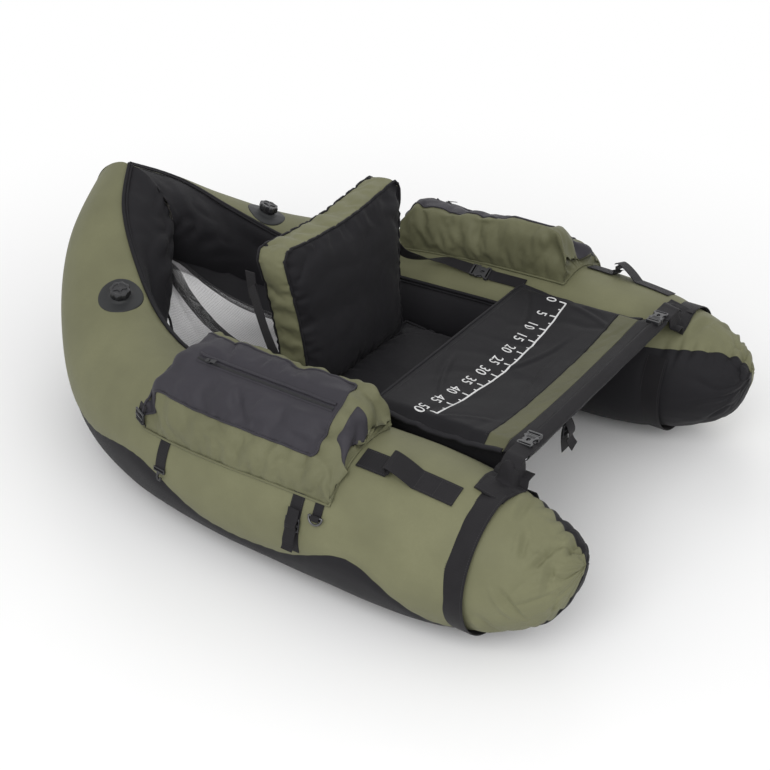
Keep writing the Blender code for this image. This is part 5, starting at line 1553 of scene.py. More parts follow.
def make_bar():
    """The fabric sleeve round the bar and its webbing."""
    steps, around = 150, 32
    verts, uvs = [], []
    for inner in (False, True):
        for x in spread(-SLEEVE_HALF, SLEEVE_HALF, steps):
            for j in range(around):
                angle = FULL * j / around
                reach = BAR_RADIUS + 0.0022
                reach += 0.0008 * fbm(x * 26 + 2 * math.sin(angle), math.cos(angle) * 2, math.sin(angle) * 2)
                reach += 0.0006 * math.sin(x * 240 + 3 * angle) * max(0, noise_at(x * 9, angle, 4))
                reach -= 0.0016 if inner else 0
                verts.append((x, BAR_Y + reach * math.cos(angle), BAR_Z + reach * math.sin(angle)))
                uvs.append((angle * reach, x))
    layer = (steps + 1) * around
    faces = grid_faces(steps + 1, around, closed=True)
    faces += grid_faces(steps + 1, around, closed=True, flip=True, start=layer)
    for ring, turned in ((0, True), (steps * around, False)):
        for j in range(around):
            k = (j + 1) % around
            quad = (ring + j, ring + k, layer + ring + k, layer + ring + j)
            faces.append(quad[::-1] if turned else quad)
    item = make("apron_bar_sleeve", verts, faces, uvs, replaces="front_bar_sleeve")
    angle = math.radians(58)
    normal = Vector((0, -math.cos(angle), math.sin(angle)))
    points = [Vector((x, BAR_Y, BAR_Z)) + normal * (BAR_RADIUS + 0.0030) for x in spread(-0.262, 0.262, 60)]
    strap("bar_webbing", points, [normal] * len(points), 0.020, 0.0014)


POCKET_START, POCKET_STOP, POCKET_END = 0.2990, 0.3420, 0.4010
POCKET_ROOM = BAR_RADIUS + 0.0046


def pocket_y(x, offset):
    """The pocket narrows away from the bar."""
    return BAR_Y + offset * (1 - 0.16 * smooth(POCKET_STOP, POCKET_END, x))


def pocket_level(x, offset):
    """The height of the cloth, which runs over the bar's end and down onto the pontoon."""
    ground = skin_height(x, pocket_y(x, offset)) + 0.0016
    rim = math.sqrt(max(POCKET_ROOM ** 2 - offset ** 2, 0))
    fade = 1 - smooth(POCKET_STOP - 0.004, POCKET_STOP + 0.016, x)
    skirt = 1 - smooth(POCKET_ROOM * 0.72, POCKET_ROOM * 1.35, abs(offset))
    over = (BAR_Z + max(rim, POCKET_ROOM * 0.30)) * skirt + ground * (1 - skirt)
    hang = max(ground + 0.0026, (BAR_Z - 0.019) * (1 - smooth(POCKET_STOP - 0.02, POCKET_STOP, x)))
    return max(hang, ground + (over - ground) * fade)


def make_pockets():
    """The reinforced pockets on the pontoons that take the bar's ends."""
    for side_name, side in SIDES:
        grid = []
        for x in spread(POCKET_START, POCKET_END, 34):
            row = []
            for offset in spread(-0.034, 0.034, 44):
                y = pocket_y(x, offset)
                level = pocket_level(x, offset) + 0.0012 * fbm(x * 50, y * 50, side * 3, 2)
                row.append(Vector((x * side, y, level)))
            grid.append(row[::-1] if side > 0 else row)
        name = side_name + "_bar_pocket"
        item = sheet_from_grid(name + "_cloth", grid, 0.0026, material="webbing", slot="black_fabric",
                               replaces=name)
        far = POCKET_END - 0.003
        lines = [[(x, pocket_y(x, offset)) for x in spread(POCKET_STOP + 0.012, far, 12)]
                 for offset in (-0.030, 0.030)]
        lines.append([(far, BAR_Y + offset) for offset in spread(-0.026, 0.026, 10)])
        rows = [([Vector((x * side, y, skin_height(x, y) + 0.0048)) for x, y in line], [UP] * len(line))
                for line in lines]
        stitches(name + "_stitching", rows, spacing=0.0046, length=0.0034, radius=0.00036)
        path = smooth_path([
            (x * side, BAR_Y - 0.004, BAR_Z + BAR_RADIUS + lift) for x, lift in (
                (0.268, 0.0050), (0.282, 0.0062), (0.296, 0.0062), (0.309, 0.0062),
                (0.320, 0.0065), (0.329, 0.0030), (0.337, -0.0040))], 5)
        strap(name + "_flap", path, [Vector((0, -0.15, 1)).normalized()] * len(path), 0.034, 0.0018)


def hull_path(side, y, turns, lift):
    """Points and normals on a pontoon's skin round one place."""
    place = place_at(y)
    centre = hull_centre(place, side)
    points = [hull_point(place, turn, lift, side) for turn in turns]
    return points, [(point - centre).normalized() for point in points]


def make_tip_bands():
    for side_name, side in SIDES:
        turns = spread(math.radians(92), math.radians(-215), 110)
        points, normals = hull_path(side, share_to_y(BAND_SHARE), turns, 0.0004)
        name = side_name + "_tip_band"
        strap(name + "_webbing", points, normals, BAND_WIDTH, 0.0020, replaces=name)
        rows = edge_rows(points, normals, BAND_WIDTH, 0.0021, 0.0035)
        stitches(name + "_stitching", rows, spacing=0.0046, length=0.0034, radius=0.00036)


def make_rod_straps():
    """Each sewn strap with its loop standing up and folding back down."""
    start, length, steps = BAG_FRONT - 0.0020, 0.193, 96
    turn, middle, loop_high = math.radians(72), 0.45, 0.027
    for side_name, side in SIDES:
        points, normals = [], []
        first, last = [], []
        for step, share in enumerate(spread(0, 1, steps)):
            y = start - length * share
            offset = (middle - share) * length / 0.028
            hump = 0.0
            if abs(offset) < 1:
                hump = loop_high * ((1 + math.cos(HALF * offset)) / 2) ** 0.75
            else:
                (first if share < middle else last).append(step)
            place = place_at(y)
            low = hull_point(place, turn, 0.0006, side)
            normal = (hull_point(place, turn, TUBE_RADIUS, side) - low).normalized()
            points.append(low + normal * hump + Vector((0, 0.021 * (hump / loop_high) ** 1.5, 0)))
            normals.append(normal)
        name = side_name + "_rod_strap"
        strap(name + "_webbing", points, normals, 0.042, 0.0018, replaces=name)
        rows = []
        for part in (first[1:], last[:-1]):
            rows += edge_rows([points[i] for i in part], [normals[i] for i in part], 0.042, 0.0019, 0.003)
        for index in (first[-2], last[1], last[-2], last[len(last) // 2]):
            run = (points[index + 1] - points[index - 1]).normalized()
            across = normals[index].cross(run).normalized()
            line = [points[index] + across * t + normals[index] * 0.0019 for t in spread(-0.018, 0.018, 6)]
            rows.append((line, [normals[index]] * len(line)))
        stitches(name + "_stitching", rows, spacing=0.0040, length=0.0030, radius=0.00036)


LOCK_AXES = ((0.54275, -0.24382, 0.19173), (0.2416, 0, -0.9704), (0.9704, 0, 0.2416))
RING_AXES = ((0.53575, -0.28908, 0.21963), (0.4069, 0, -0.9135), (0.9135, 0, 0.4069))
RING_RADIUS = 0.014
HOOK = (
    (0.0025, -0.0055), (0.0145, -0.0062), (0.0205, -0.0028), (0.0205, 0.0050), (0.0150, 0.0072),
    (0.0118, 0.0060), (0.0122, 0.0030), (0.0160, 0.0026), (0.0166, -0.0004), (0.0135, -0.0022),
    (0.0080, -0.0012), (0.0025, 0.0045),
)


def ladder_lock():
    """A ladder lock with two slots, a raised grip bar and turned-up lip."""
    long, wide, high = 0.013, 0.0155, 0.0050
    slots = [rounded(rectangle(x - 0.0031, x + 0.0031, -0.0133, 0.0133), 0.0009, 3)
             for x in (-0.0054, 0.0054)]
    outline = rounded(rectangle(-long, long, -wide, wide), 0.0030, 4)
    parts = [
        raised(plate(outline, slots, 0.0036, 0.0007), 0.0020),
        block(-0.0022, 0.0022, -wide * 0.9, wide * 0.9, 0.0030, high + 0.0004, 0.0008),
        block(long - 0.0030, long, -wide * 0.86, wide * 0.86, 0.0028, high + 0.0002, 0.0008),
    ]
    for k in range(6):
        y = -0.011 + 0.0044 * k
        parts.append(block(long - 0.0034, long - 0.0004, y - 0.0006, y + 0.0006, high - 0.0004,
                           high + 0.0008, 0.0002))
    return parts


def make_bag_straps(side_name, side):
    """The two short straps below a bag, and the hook at the rear one's end."""
    for word, share, low in (("front", 0.333, -8), ("rear", 0.546, 9)):
        turns = spread(BAG_OUTER_TURN + 0.020, math.radians(low), 30)
        points, normals = hull_path(side, share_to_y(share), turns, 0.0006)
        name = side_name + "_bag_" + word + "_strap"
        strap(name + "_webbing", points, normals, 0.025, 0.0018, replaces=name)
        stitches(name + "_stitching", edge_rows(points[:8], normals[:8], 0.025, 0.0019))
    matrix = axes(points[-1] + normals[-1] * 0.0026, points[-1] - points[-3], normals[-1])
    frame_ring = plate(rounded(rectangle(-0.0065, 0.0030, -0.0150, 0.0150), 0.002, 3),
                       [rounded(rectangle(-0.0040, 0.0002, -0.0128, 0.0128), 0.0008, 3)], 0.0034, 0.0007)
    hook = plate(rounded(HOOK, 0.0012, 2), [], 0.0036, 0.0007)
    assemble(side_name + "_bag_hook", [frame_ring, hook], matrix)


def make_rear_tab(side_name, side):
    """The tab at the bag's rear foot with its ladder lock."""
    heel = skin_point(bag_y(BAG_BACK, 0) + 0.003, BAG_OUTER_TURN + 0.05, 0.0, side)
    outward = Vector((side * 0.88, 0.30, 0.36)).normalized()
    top = heel + Vector((side * 0.002, -0.006, 0.048))
    path = smooth_path([top, top.lerp(heel, 0.35) + outward * 0.005,
                        top.lerp(heel, 0.7) + outward * 0.006, heel + outward * 0.003], 6)
    strap(side_name + "_bag_rear_tab", path, [outward] * len(path), 0.0225, 0.0016)
    matrix = axes(heel.lerp(top, 0.42) + outward * 0.0080, heel - top, outward)
    assemble(side_name + "_bag_rear_lock", ladder_lock(), matrix)


def make_bag_lock(side_name, side):
    matrix = axes(*LOCK_AXES, side=side)
    assemble(side_name + "_bag_ladder_lock", ladder_lock(), matrix, replaces=side_name + "_bag_lock")
    path = smooth_path([matrix @ Vector((x, 0, z)) for x, z in (
        (-0.030, 0.0012), (-0.016, 0.0030), (-0.0085, 0.0055), (-0.0022, 0.0078), (0.0030, 0.0072),
        (0.0090, 0.0052), (0.0160, 0.0062), (0.0300, 0.0085), (0.0420, 0.0070), (0.0500, 0.0095))], 5)
    strap(side_name + "_bag_strap_tail", path, [up_of(matrix)] * len(path), 0.0235, 0.0015)


def make_ring(side_name, side):
    """The D-ring, its tab and the tab's fold round the ring's straight side."""
    matrix = axes(*RING_AXES, side=side)
    arc = [(RING_RADIUS * math.cos(a), RING_RADIUS * math.sin(a)) for a in spread(-QUARTER, QUARTER, 24)]
    straight = [(-0.0008, 0.0128), (-0.0005, 0.0100), (-0.0004, 0.0), (-0.0005, -0.0100), (-0.0008, -0.0128)]
    tube(side_name + "_ring_wire", [matrix @ Vector((x, y, 0)) for x, y in arc + straight], 0.0020,
         sides=14, closed=True, material="steel", body=side_name + "_ring",
         replaces=side_name + "_d_ring")
    y = share_to_y(0.302)
    high = BAG_OUTER_TURN - 0.019
    low = high - 0.030 / TUBE_RADIUS
    points, normals = hull_path(side, y, spread(high, low, 12), 0.0006)
    strap(side_name + "_ring_tab_webbing", points, normals, 0.018, 0.0017, replaces=side_name + "_ring_tab")
    fold, ups = [], []
    for t in spread(0, 1, 14):
        turn = low + 0.052 - 0.072 * math.sin(HALF * t * 0.5)
        lift = 0.0028 + 0.0046 * math.sin(HALF * min(1, 0.25 + 0.9 * t)) if t < 0.9 else 0.0030
        points, normals = hull_path(side, y, [turn], lift)
        fold += points
        ups += normals
    strap(side_name + "_ring_tab_fold", fold, ups, 0.0170, 0.0012)


def make_bag_webbing():
    for side_name, side in SIDES:
        make_bag_straps(side_name, side)
        make_rear_tab(side_name, side)
        make_bag_lock(side_name, side)
        make_ring(side_name, side)


def make_back_straps():
    """The slack webbing from each buckle on the pontoon up to the backrest's rear edge."""
    head, lift = BUCKLE_LENGTH / 2 + 0.0120 + 0.0005, BUCKLE_HEIGHT / 2 - 0.0008
    for side_name, side in SIDES:
        name = side_name + "_back_strap"
        matrix = axes(*BUCKLES["back"], side)
        first = matrix @ Vector((head - 0.0030, 0, lift))
        knee = matrix @ Vector((head + 0.016, 0, lift + 0.003))
        last = back_world((0.2300, 0.0800, 0.266))
        last.x *= side
        if side < 0:
            slack = [knee.lerp(last, 0.30) + Vector((-0.004, 0, -0.012)),
                     knee.lerp(last, 0.62) + Vector((-0.006, 0, -0.010))]
        else:
            slack = [(0.307, -0.030, 0.289), (0.292, 0.020, 0.287), (0.270, 0.062, 0.300),
                     (0.247, 0.082, 0.350), (0.236, 0.084, 0.400)]
        points = smooth_path([first, knee] + slack + [last], 12)
        start_normal = up_of(matrix)
        end_normal = Vector((side, 0.15, 0.05)).normalized()
        normals = [start_normal.lerp(end_normal, smooth(0.05, 0.75, share)).normalized()
                   for share in spread(0, 1, len(points) - 1)]
        split = min(range(len(points)), key=lambda i: abs(points[i].y - (first.y + 0.058)))
        item = strap(name + "_webbing", points[split - 1:], normals[split - 1:], 0.025, 0.0018,
                     body=None, replaces=name)
        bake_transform(item)
        item = strap(name + "_start", points[:split + 1], normals[:split + 1], 0.0248, 0.0016)
        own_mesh(item)
        patch = []
        for t in spread(-0.030, 0.030, 6):
            point = back_world((0.2270, 0.0810, 0.266 + t))
            point.x *= side
            patch.append(point)
        strap(name + "_anchor", patch, [end_normal] * len(patch), 0.026, 0.0016, body="backrest")
        lead = []
        for point in smooth_path([matrix @ Vector((x, 0, z)) for x, z in (
                (-0.0165, 0.0042), (-0.0240, 0.0034), (-0.0330, 0.0016), (-0.0600, 0.0010),
                (-0.1050, 0.0010))], 5):
            place = place_at(point.y)
            centre = hull_centre(place, side)
            away = point - centre
            ground = hull_point(place, math.atan2(away.z, away.x * side), 0.0010, side)
            lead.append(point if away.length > (ground - centre).length else ground)
        strap(name + "_lead", lead, [start_normal] * len(lead), 0.0245, 0.0016)


# ---- cargo net ----
NET_FRONT, NET_REAR = share_to_y(0.578), share_to_y(0.859)
NET_STEPS = 40
NET_WIDEST = 0.237
NET_PITCH = 0.0052


def net_y(share):
    return NET_FRONT + (NET_REAR - NET_FRONT) * share


def net_level(u, share):
    """The net's height across (u from -1 to 1) and along (share), sagging in its middle."""
    z = 0.106 + 0.020 * share + 0.128 * share ** 3.6 + 0.014 * abs(u) - 0.0012
    z -= 0.006 * math.sin(HALF * share) * (1 - u * u)
    return z + 0.0020 * fbm(u * 3, share * 4, 1.0, 2)


def net_walls():
    """How far the pontoon's wall is at each step, on the left and on the right."""
    graph = bpy.context.evaluated_depsgraph_get()
    trees = [BVHTree.FromObject(NODES["left_cover_" + part], graph) for part in ("bottom", "top")]
    left, right = [], []
    for share in spread(0, 1, NET_STEPS):
        y, z = net_y(share), net_level(1.0, share)
        hits = [tree.ray_cast(Vector((0, y, z)), Vector((1, 0, 0))) for tree in trees]
        wall = min([NET_WIDEST] + [hit[3] for hit in hits if hit[0] is not None]) - 0.0022
        left.append(wall)
        line = []
        for turn in spread(4.1, seam_turns(place_at(y))[0], 36):
            place = place_where(y, lambda place: hull_point(place, turn).y)
            line.append(hull_point(place, turn, skin_relief(place, turn, -1) + 0.0035, -1))
        reach = wall
        for a, b in zip(line, line[1:]):
            if a.z <= z < b.z:
                reach = -(a.x + (b.x - a.x) * (z - a.z) / (b.z - a.z)) - 0.003
        right.append(min(max(reach, wall), 0.27))
    return left, right


def make_strands(name, strands, **options):
    """Square threads along (path, radius) pairs, as one piece."""
    verts, faces = [], []
    for path, radius in strands:
        faces += loft(len(path), 4, len(verts))
        for i, point in enumerate(path):
            run = (path[min(i + 1, len(path) - 1)] - path[max(i - 1, 0)]).normalized()
            across = run.cross(UP).normalized()
            up = across.cross(run)
            for a, b in ((1, 0), (0, 1), (-1, 0), (0, -1)):
                verts.append(point + across * (a * radius) + up * (b * radius * 0.8))
    return make(name, verts, faces, smooth=False, **options)


def make_net():
    """The cargo net: two panels of fine mesh either side of a doubled fold, and its border."""
    left, right = net_walls()

    def wall_at(walls, share):
        place = min(int(share * NET_STEPS), NET_STEPS - 1)
        part = share * NET_STEPS - place
        return walls[place] * (1 - part) + walls[place + 1] * part

    def net_point(u, share, lift=0.0):
        y = net_y(share)
        reach = wall_at(right, share)
        if u > 0:
            reach = min(wall_at(left, share), max(0.030 + 0.40 * (NET_REAR - y), 0.02))
        shift = -0.020 * math.sin(HALF * share) * max(0.0, 1 - abs(u) * 2)
        return Vector((u * reach + shift, y, net_level(u, share) + lift))

    def fold_half(share):
        return 0.046 * (0.18 + 0.82 * share) / max(left[int(share * NET_STEPS)], 0.05) * 0.5

    grid = []
    for t in spread(0, 1, 8):
        row = []
        for share in spread(0, 1, 50):
            low = net_point(0.985, share, -0.0012)
            x = low.x + (wall_at(left, share) + 0.0004 - low.x) * t
            wave = 0.0022 * math.sin(HALF * t) * noise_at(low.y * 22, 1, t)
            row.append(Vector((x, low.y, low.z + 0.030 * t ** 1.5 + wave)))
        grid.append(row[::-1])
    item = sheet_from_grid("cargo_net_left_gusset", grid, 0.0012)

    long = NET_REAR - NET_FRONT
    thread = 0.00042
    strands = [([net_point(u, share, 0.0002) for share in spread(0, 1, 26)], thread)
               for u in spread(-1, 1, int(2 * max(left) / NET_PITCH))]
    strands += [([net_point(u, share, -0.0002) for u in spread(-1, 1, 38)], thread)
                for share in spread(0, 1, int(long * 1.05 / NET_PITCH))]
    item = make_strands("cargo_net_mesh", strands, material="net", replaces="cargo_net")
    strands = []
    for share in spread(0, 1, int(long / 0.0019)):
        half = fold_half(share)
        strands.append(([net_point(u, share, 0.0022 + 0.0035 * (1 - abs(u / half)))
                         for u in spread(-half, half, 5)], 0.00078))
    for t in spread(-1, 1, 14):
        strands.append(([net_point(t * fold_half(share), share, 0.0024 + 0.0035 * (1 - abs(t)))
                         for share in spread(0, 1, 30)], 0.00080))
    make_strands("cargo_net_fold", strands, material="net_dark")
    strands = [([net_point(u, share, 0.0010) for u in spread(0.82, 1.0, 3)], 0.00085)
               for share in spread(0, 1, int(long / 0.0021))]
    strands += [([net_point(u, share, 0.0014) for share in spread(0, 1, 30)], 0.00060)
                for u in spread(0.82, 1.0, 9)]
    make_strands("cargo_net_border", strands, material="net_dark")
    path = [net_point(-0.997, share, 0.0008) for share in spread(0, 1, 50)]
    tube("cargo_net_side_hem", path, 0.0030, squeeze=0.5)
    for word, share in (("front", 0.006), ("rear", 0.994)):
        path = [net_point(u, share, 0.0008) for u in spread(-0.995, 0.995, 50)]
        tube("cargo_net_" + word + "_hem", path, 0.0032, squeeze=0.5)


# ---- valves ----
CAP_FOOT = 0.030 - 0.014 + 0.014 / 3 + 0.0003
PATCH_PROFILE = (
    (0.0182, 0.0046), (0.0205, 0.0052), (0.0222, 0.0040), (0.0240, 0.0020), (0.0300, 0.0015),
    (0.0370, 0.0014), (0.0430, 0.0013), (0.0462, 0.0011), (0.0478, 0.0006), (0.0484, -0.0006),
)


def lathe(profile, segments=48, wave=None):
    """A closed turned solid from (radius, height) corners."""
    verts = []
    for radius, height in profile:
        for step in range(segments):
            angle = FULL * step / segments
            reach = radius if wave is None else radius + wave(angle, radius)
            verts.append(Vector((reach * math.cos(angle), reach * math.sin(angle), height)))
    return verts, loft(len(profile), segments, flip=True)


def star(angle, radius):
    """The finger grips round the valve's cap."""
    return -0.0016 - 0.0017 * math.cos(8 * angle) ** 3 if radius > 0.018 else 0.0


def make_valve_patch(side_name, side, matrix):
    """The rubber disc that is glued to the pontoon round the valve."""
    graph = bpy.context.evaluated_depsgraph_get()
    tree = BVHTree.FromObject(NODES[side_name + "_cover_top"], graph)
    normal = up_of(matrix)
    around = 56
    rings = []
    for radius, height in PATCH_PROFILE:
        ring = []
        for j in range(around):
            angle = FULL * j / around
            stretch = 1 + 0.05 * math.cos(angle * 2) * max(radius - 0.024, 0) / 0.024
            local = Vector((radius * stretch * math.cos(angle) * 0.90,
                            radius * stretch * math.sin(angle) * 1.03, 0))
            hit = tree.ray_cast(matrix @ (local + UP * 0.05), -normal)
            ground = hit[0] if hit[0] is not None else matrix @ (local + UP * 0.012)
            ring.append(ground + normal * height)
        rings.append(ring)
    for ring in (rings[-1], rings[0]):
        rings.append([point - normal * 0.0012 for point in ring])
    make(side_name + "_valve_patch", [point for ring in rings for point in ring],
         loft(len(rings), around, closed=True, flip=(side < 0)), material="rubber",
         replaces=side_name + "_valve_flange")


def make_valves():
    for side_name, side in SIDES:
        matrix = axes(*VALVE_AXES, side=side)
        cap = lathe([(radius, CAP_FOOT + height) for radius, height in (
            (0.0172, 0), (0.0212, 0), (0.0226, 0.0012), (0.0228, 0.0060), (0.0228, 0.0106),
            (0.0216, 0.0130), (0.0190, 0.0139), (0.0150, 0.0136), (0.0140, 0.0122),
            (0.0120, 0.0118), (0.0060, 0.0120), (0.0052, 0.0138), (0.0030, 0.0140))], 96, star)
        grip = block(0.0050, 0.0150, -0.0011, 0.0011, CAP_FOOT + 0.0112, CAP_FOOT + 0.0138, 0.0004)
        grips = [moved(grip, Matrix.Rotation(QUARTER * k, 4, "Z")) for k in range(4)]
        assemble(side_name + "_valve_knob", [cap] + grips, matrix, side_name + "_cap",
                 side_name + "_valve_cap")
        neck = lathe((
            (0.0110, 0.0010), (0.0260, 0.0010), (0.0260, 0.0030), (0.0185, 0.0034),
            (0.0165, 0.0050), (0.0165, 0.0290), (0.0155, 0.0298), (0.0112, 0.0298)))
        assemble(side_name + "_valve_neck", [neck], matrix, replaces=side_name + "_valve_body")
        make_valve_patch(side_name, side, matrix)


def make_piping():
    """The rolled black edge along each inner top seam, as two stitched rolls."""
    for side_name, side in SIDES:
        for index, (offset, radius, lift) in enumerate(((0.0, 0.0042, 0.0022), (0.0072, 0.0026, 0.0012))):
            path = []
            for place in spread(LAST * 0.30, LAST, 150):
                turn = seam_turns(place)[0] + offset / hull_frame(place)[2]
                lump = 0.0005 * fbm(place * 6, index, side, 2)
                path.append(hull_point(place, turn, lift + lump, side))
            path[-1].x = side * 0.0006
            tube(side_name + "_seam_roll_%d" % (index + 1), path, radius, sides=10, squeeze=0.8,
                 replaces=None if index else side_name + "_seam_piping")


HANGING_X = -0.1176


def make_hanging():
    """The webbing tail under the bar with its lock, and the loose end through it."""
    x = HANGING_X
    points = [Vector((x, BAR_Y + 0.004 * math.sin(HALF * t), BAR_Z - 0.0145 - 0.070 * t))
              for t in spread(0, 1, 24)]
    strap("hanging_strap_webbing", points, [Vector((0, -1, 0))] * len(points), 0.025, 0.0016,
          replaces="hanging_strap")
    matrix = axes((x, -0.5585, 0.27527), (0, 0, -1), (0, 1, 0))
    flip = matrix @ Matrix.Translation((0, 0, 0.005)) @ Matrix.Rotation(HALF, 4, "X")
    assemble("hanging_ladder_lock", ladder_lock(), flip, replaces="hanging_buckle")
    path = smooth_path([
        (x, -0.5560, 0.2930), (x, -0.5612, 0.2850), (x, -0.5650, 0.2760), (x + 0.001, -0.5652, 0.2660),
        (x + 0.002, -0.5610, 0.2560), (x + 0.004, -0.5640, 0.2460), (x + 0.007, -0.5700, 0.2360)], 5)
    strap("hanging_strap_tail", path, [Vector((0, -1, 0.2))] * len(path), 0.0235, 0.0015)


# ---- zips ----
CELL_FACES = ((0, 1, 3, 2), (4, 6, 7, 5), (0, 4, 5, 1), (2, 3, 7, 6), (0, 2, 6, 4), (1, 5, 7, 3))


def zip_line(tree, normal, side, offset, waves):
    """A line along the lid beside the zip, found by casting rays down on it."""
    across = Vector((normal.z, 0, -normal.x)) * side
    path = []
    for y in spread(BAG_HEEL - 0.004, BAG_NOSE + 0.006, 90):
        wave = 0.0012 * noise_at(y * 25, offset * 300, side) if waves else 0.0
        start = Vector((ZIP_START[0] * side, y, ZIP_START[2])) + across * (offset + wave) + normal * 0.05
        hit = tree.ray_cast(start, -normal)
        if hit[0] is not None:
            path.append(hit[0])
    return path


def make_slider(side_name, side):
    hole = rounded(rectangle(0.0040, 0.0072, -0.0022, 0.0022), 0.0010, 3)
    handle = rounded([(-0.0010, -0.0030), (0.0100, -0.0034), (0.0205, -0.0045), (0.0205, 0.0045),
                      (0.0100, 0.0034), (-0.0010, 0.0030)], 0.0016, 3)
    tilt = Matrix.Rotation(math.radians(-8), 4, "Y") @ Matrix.Translation((0, 0, 0.0052))
    assemble(side_name + "_zip_slider", [
        block(-0.0060, 0.0060, -0.0042, 0.0042, 0.0010, 0.0040, 0.0008),
        block(-0.0030, 0.0030, -0.0016, 0.0016, 0.0036, 0.0062, 0.0006),
        moved(plate(handle, [hole], 0.0016, 0.0004), tilt),
    ], axes(ZIP_START, (0, -1, 0), ZIP_NORMAL, side), side_name + "_zip", side_name + "_zip_pull")


def make_zips():
    """Each lid's coil zip under its flap, and the puller on it."""
    for side_name, side in SIDES:
        cover = bpy.data.objects[side_name + "_bag_cover"]
        tree = BVHTree.FromObject(cover, bpy.context.evaluated_depsgraph_get())
        normal = Vector(ZIP_NORMAL)
        normal.x *= side
        path = zip_line(tree, normal, side, 0.0, False)
        ups = [normal] * len(path)
        strap(side_name + "_zip_tape", [p + normal * 0.0001 for p in path], ups, 0.0110, 0.0010,
              material="bag_black")
        coil, faces = [], []
        for place, run, up in along_path(path, ups, 0.0017):
            across = up.cross(run).normalized()
            faces += [tuple(len(coil) + i for i in face) for face in CELL_FACES]
            coil += [place + across * (s * 0.0026) + up * z + run * (r * 0.00055)
                     for s in (-1, 1) for z in (0.0008, 0.0021) for r in (-1, 1)]
        make(side_name + "_zip_teeth", coil, faces, material="plastic", smooth=False)
        path = zip_line(tree, normal, side, -0.010, True)
        tube(side_name + "_zip_roll", [p + normal * 0.0016 for p in path], 0.0030, sides=10, squeeze=0.8,
             material="bag_black")
        path = zip_line(tree, normal, side, 0.006, True)
        stitches(side_name + "_zip_stitching", [([p + normal * 0.0006 for p in path], [normal] * len(path))],
                 slot="black_fabric")
        make_slider(side_name, side)


# ---- stage ----
def area_lamp(name, location, target, size, power):
    data = bpy.data.lights.new(name, "AREA")
    data.shape = "RECTANGLE"
    data.size, data.size_y = size
    data.energy = power
    item = bpy.data.objects.new(name, data)
    item.location = location
    item.rotation_euler = (Vector(target) - Vector(location)).to_track_quat("-Z", "Y").to_euler()
    bpy.context.scene.collection.objects.link(item)


def seen_rays(tree):
    """1 on the rays of the camera and on those that gloss or glass sends on, else 0."""
    rays = tree.nodes.new("ShaderNodeLightPath")
    seen = rays.outputs["Is Camera Ray"]
    for ray in ("Is Glossy Ray", "Is Transmission Ray"):
        either = tree.nodes.new("ShaderNodeMath")
        either.operation = "MAXIMUM"
        tree.links.new(seen, either.inputs[0])
        tree.links.new(rays.outputs[ray], either.inputs[1])
        seen = either.outputs[0]
    return seen


def make_world():
    """White where it is seen, and softer where it lights."""
    world = bpy.data.worlds.new("studio")
    bpy.context.scene.world = world
    world.use_nodes = True
    tree = world.node_tree
    tree.nodes.clear()
    mix = tree.nodes.new("ShaderNodeMixShader")
    tree.links.new(seen_rays(tree), mix.inputs[0])
    for socket, strength in ((1, 0.66), (2, 1.0)):
        light = tree.nodes.new("ShaderNodeBackground")
        light.inputs["Color"].default_value = (1, 1, 1, 1)
        light.inputs["Strength"].default_value = strength
        tree.links.new(light.outputs[0], mix.inputs[socket])
    tree.links.new(mix.outputs[0], tree.nodes.new("ShaderNodeOutputWorld").inputs[0])


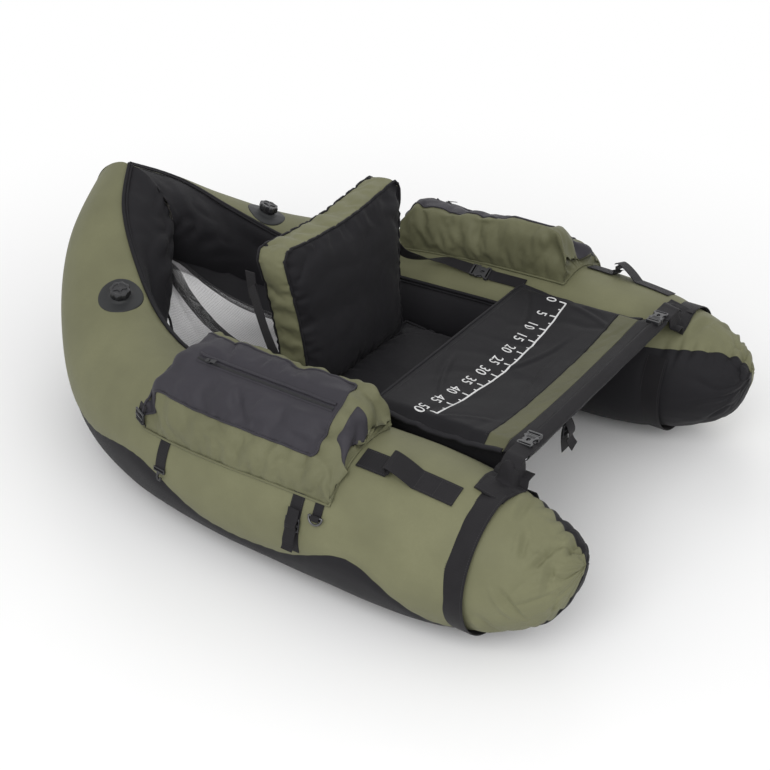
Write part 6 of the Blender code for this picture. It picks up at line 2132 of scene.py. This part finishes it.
def make_floor():
    """A pale floor that turns into the white world away from the middle."""
    size = 30.0
    mesh = bpy.data.meshes.new("floor")
    mesh.from_pydata([(-size, -size, 0), (size, -size, 0), (size, size, 0), (-size, size, 0)], [],
                     [(0, 1, 2, 3)])
    floor = bpy.data.objects.new("floor", mesh)
    bpy.context.scene.collection.objects.link(floor)
    n = Nodes("pale_floor", (0.90, 0.90, 0.90), 0.9, Specular_IOR_Level=0.1)
    tone = n.mix(n.noise(0.6, 3.0), (0.89, 0.89, 0.89), (0.91, 0.91, 0.91))
    n.feed(n.shader.inputs["Base Color"], tone)
    reach = n.add("ShaderNodeVectorMath", operation="LENGTH")
    n.feed(reach.inputs[0], n.add("ShaderNodeNewGeometry").outputs["Position"])
    away = n.add("ShaderNodeMapRange", interpolation_type="SMOOTHSTEP")
    for key, value in (("Value", reach.outputs["Value"]), ("From Min", 0.55), ("From Max", 1.9)):
        n.feed(away.inputs[key], value)
    bright = n.add("ShaderNodeEmission")
    bright.inputs["Color"].default_value = (1, 1, 1, 1)
    both = n.add("ShaderNodeMixShader")
    share = n.math("MULTIPLY", seen_rays(n.tree), away.outputs["Result"])
    for socket, value in zip(both.inputs, (share, n.shader.outputs[0], bright.outputs[0])):
        n.feed(socket, value)
    n.feed(n.tree.nodes["Material Output"].inputs["Surface"], both.outputs[0])
    mesh.materials.append(n.material)


def make_stage():
    scene = bpy.context.scene
    scene.view_settings.view_transform = "Standard"
    make_world()
    make_floor()
    area_lamp("key", (-3.0, -0.9, 2.9), (0, 0, 0.2), (2.6, 2.6), 72)
    area_lamp("front", (-1.6, -3.2, 2.6), (0, -0.1, 0.2), (2.4, 2.0), 32)
    area_lamp("far", (2.8, 1.4, 3.0), (0, 0, 0.2), (2.4, 2.4), 27)
    camera = bpy.data.cameras.new("camera")
    camera.lens = 65.9
    camera.sensor_width = 36.0
    camera.clip_end = 100
    item = bpy.data.objects.new("camera", camera)
    item.location = (-2.088, -1.4845, 1.713)
    forward = Vector((0.7026, 0.4749, -0.5299))
    item.rotation_euler = forward.to_track_quat("-Z", "Y").to_euler()
    scene.collection.objects.link(item)
    scene.camera = item


# The bar is the one CAD solid that is kept; it only takes its metal
bar = NODES["front_bar_tube"].data.materials
bar.clear()
bar.append(MATERIALS["alloy"][0])

make_backrest()
make_sling()
make_seat()
for name, sign in SIDES:
    make_bag(name, sign)
make_apron()
make_bar()
make_pockets()
make_buckles()
make_tip_bands()
make_rod_straps()
make_bag_webbing()
make_back_straps()
make_net()
make_valves()
make_piping()
make_hanging()
make_zips()
make_pontoons()
make_stage()
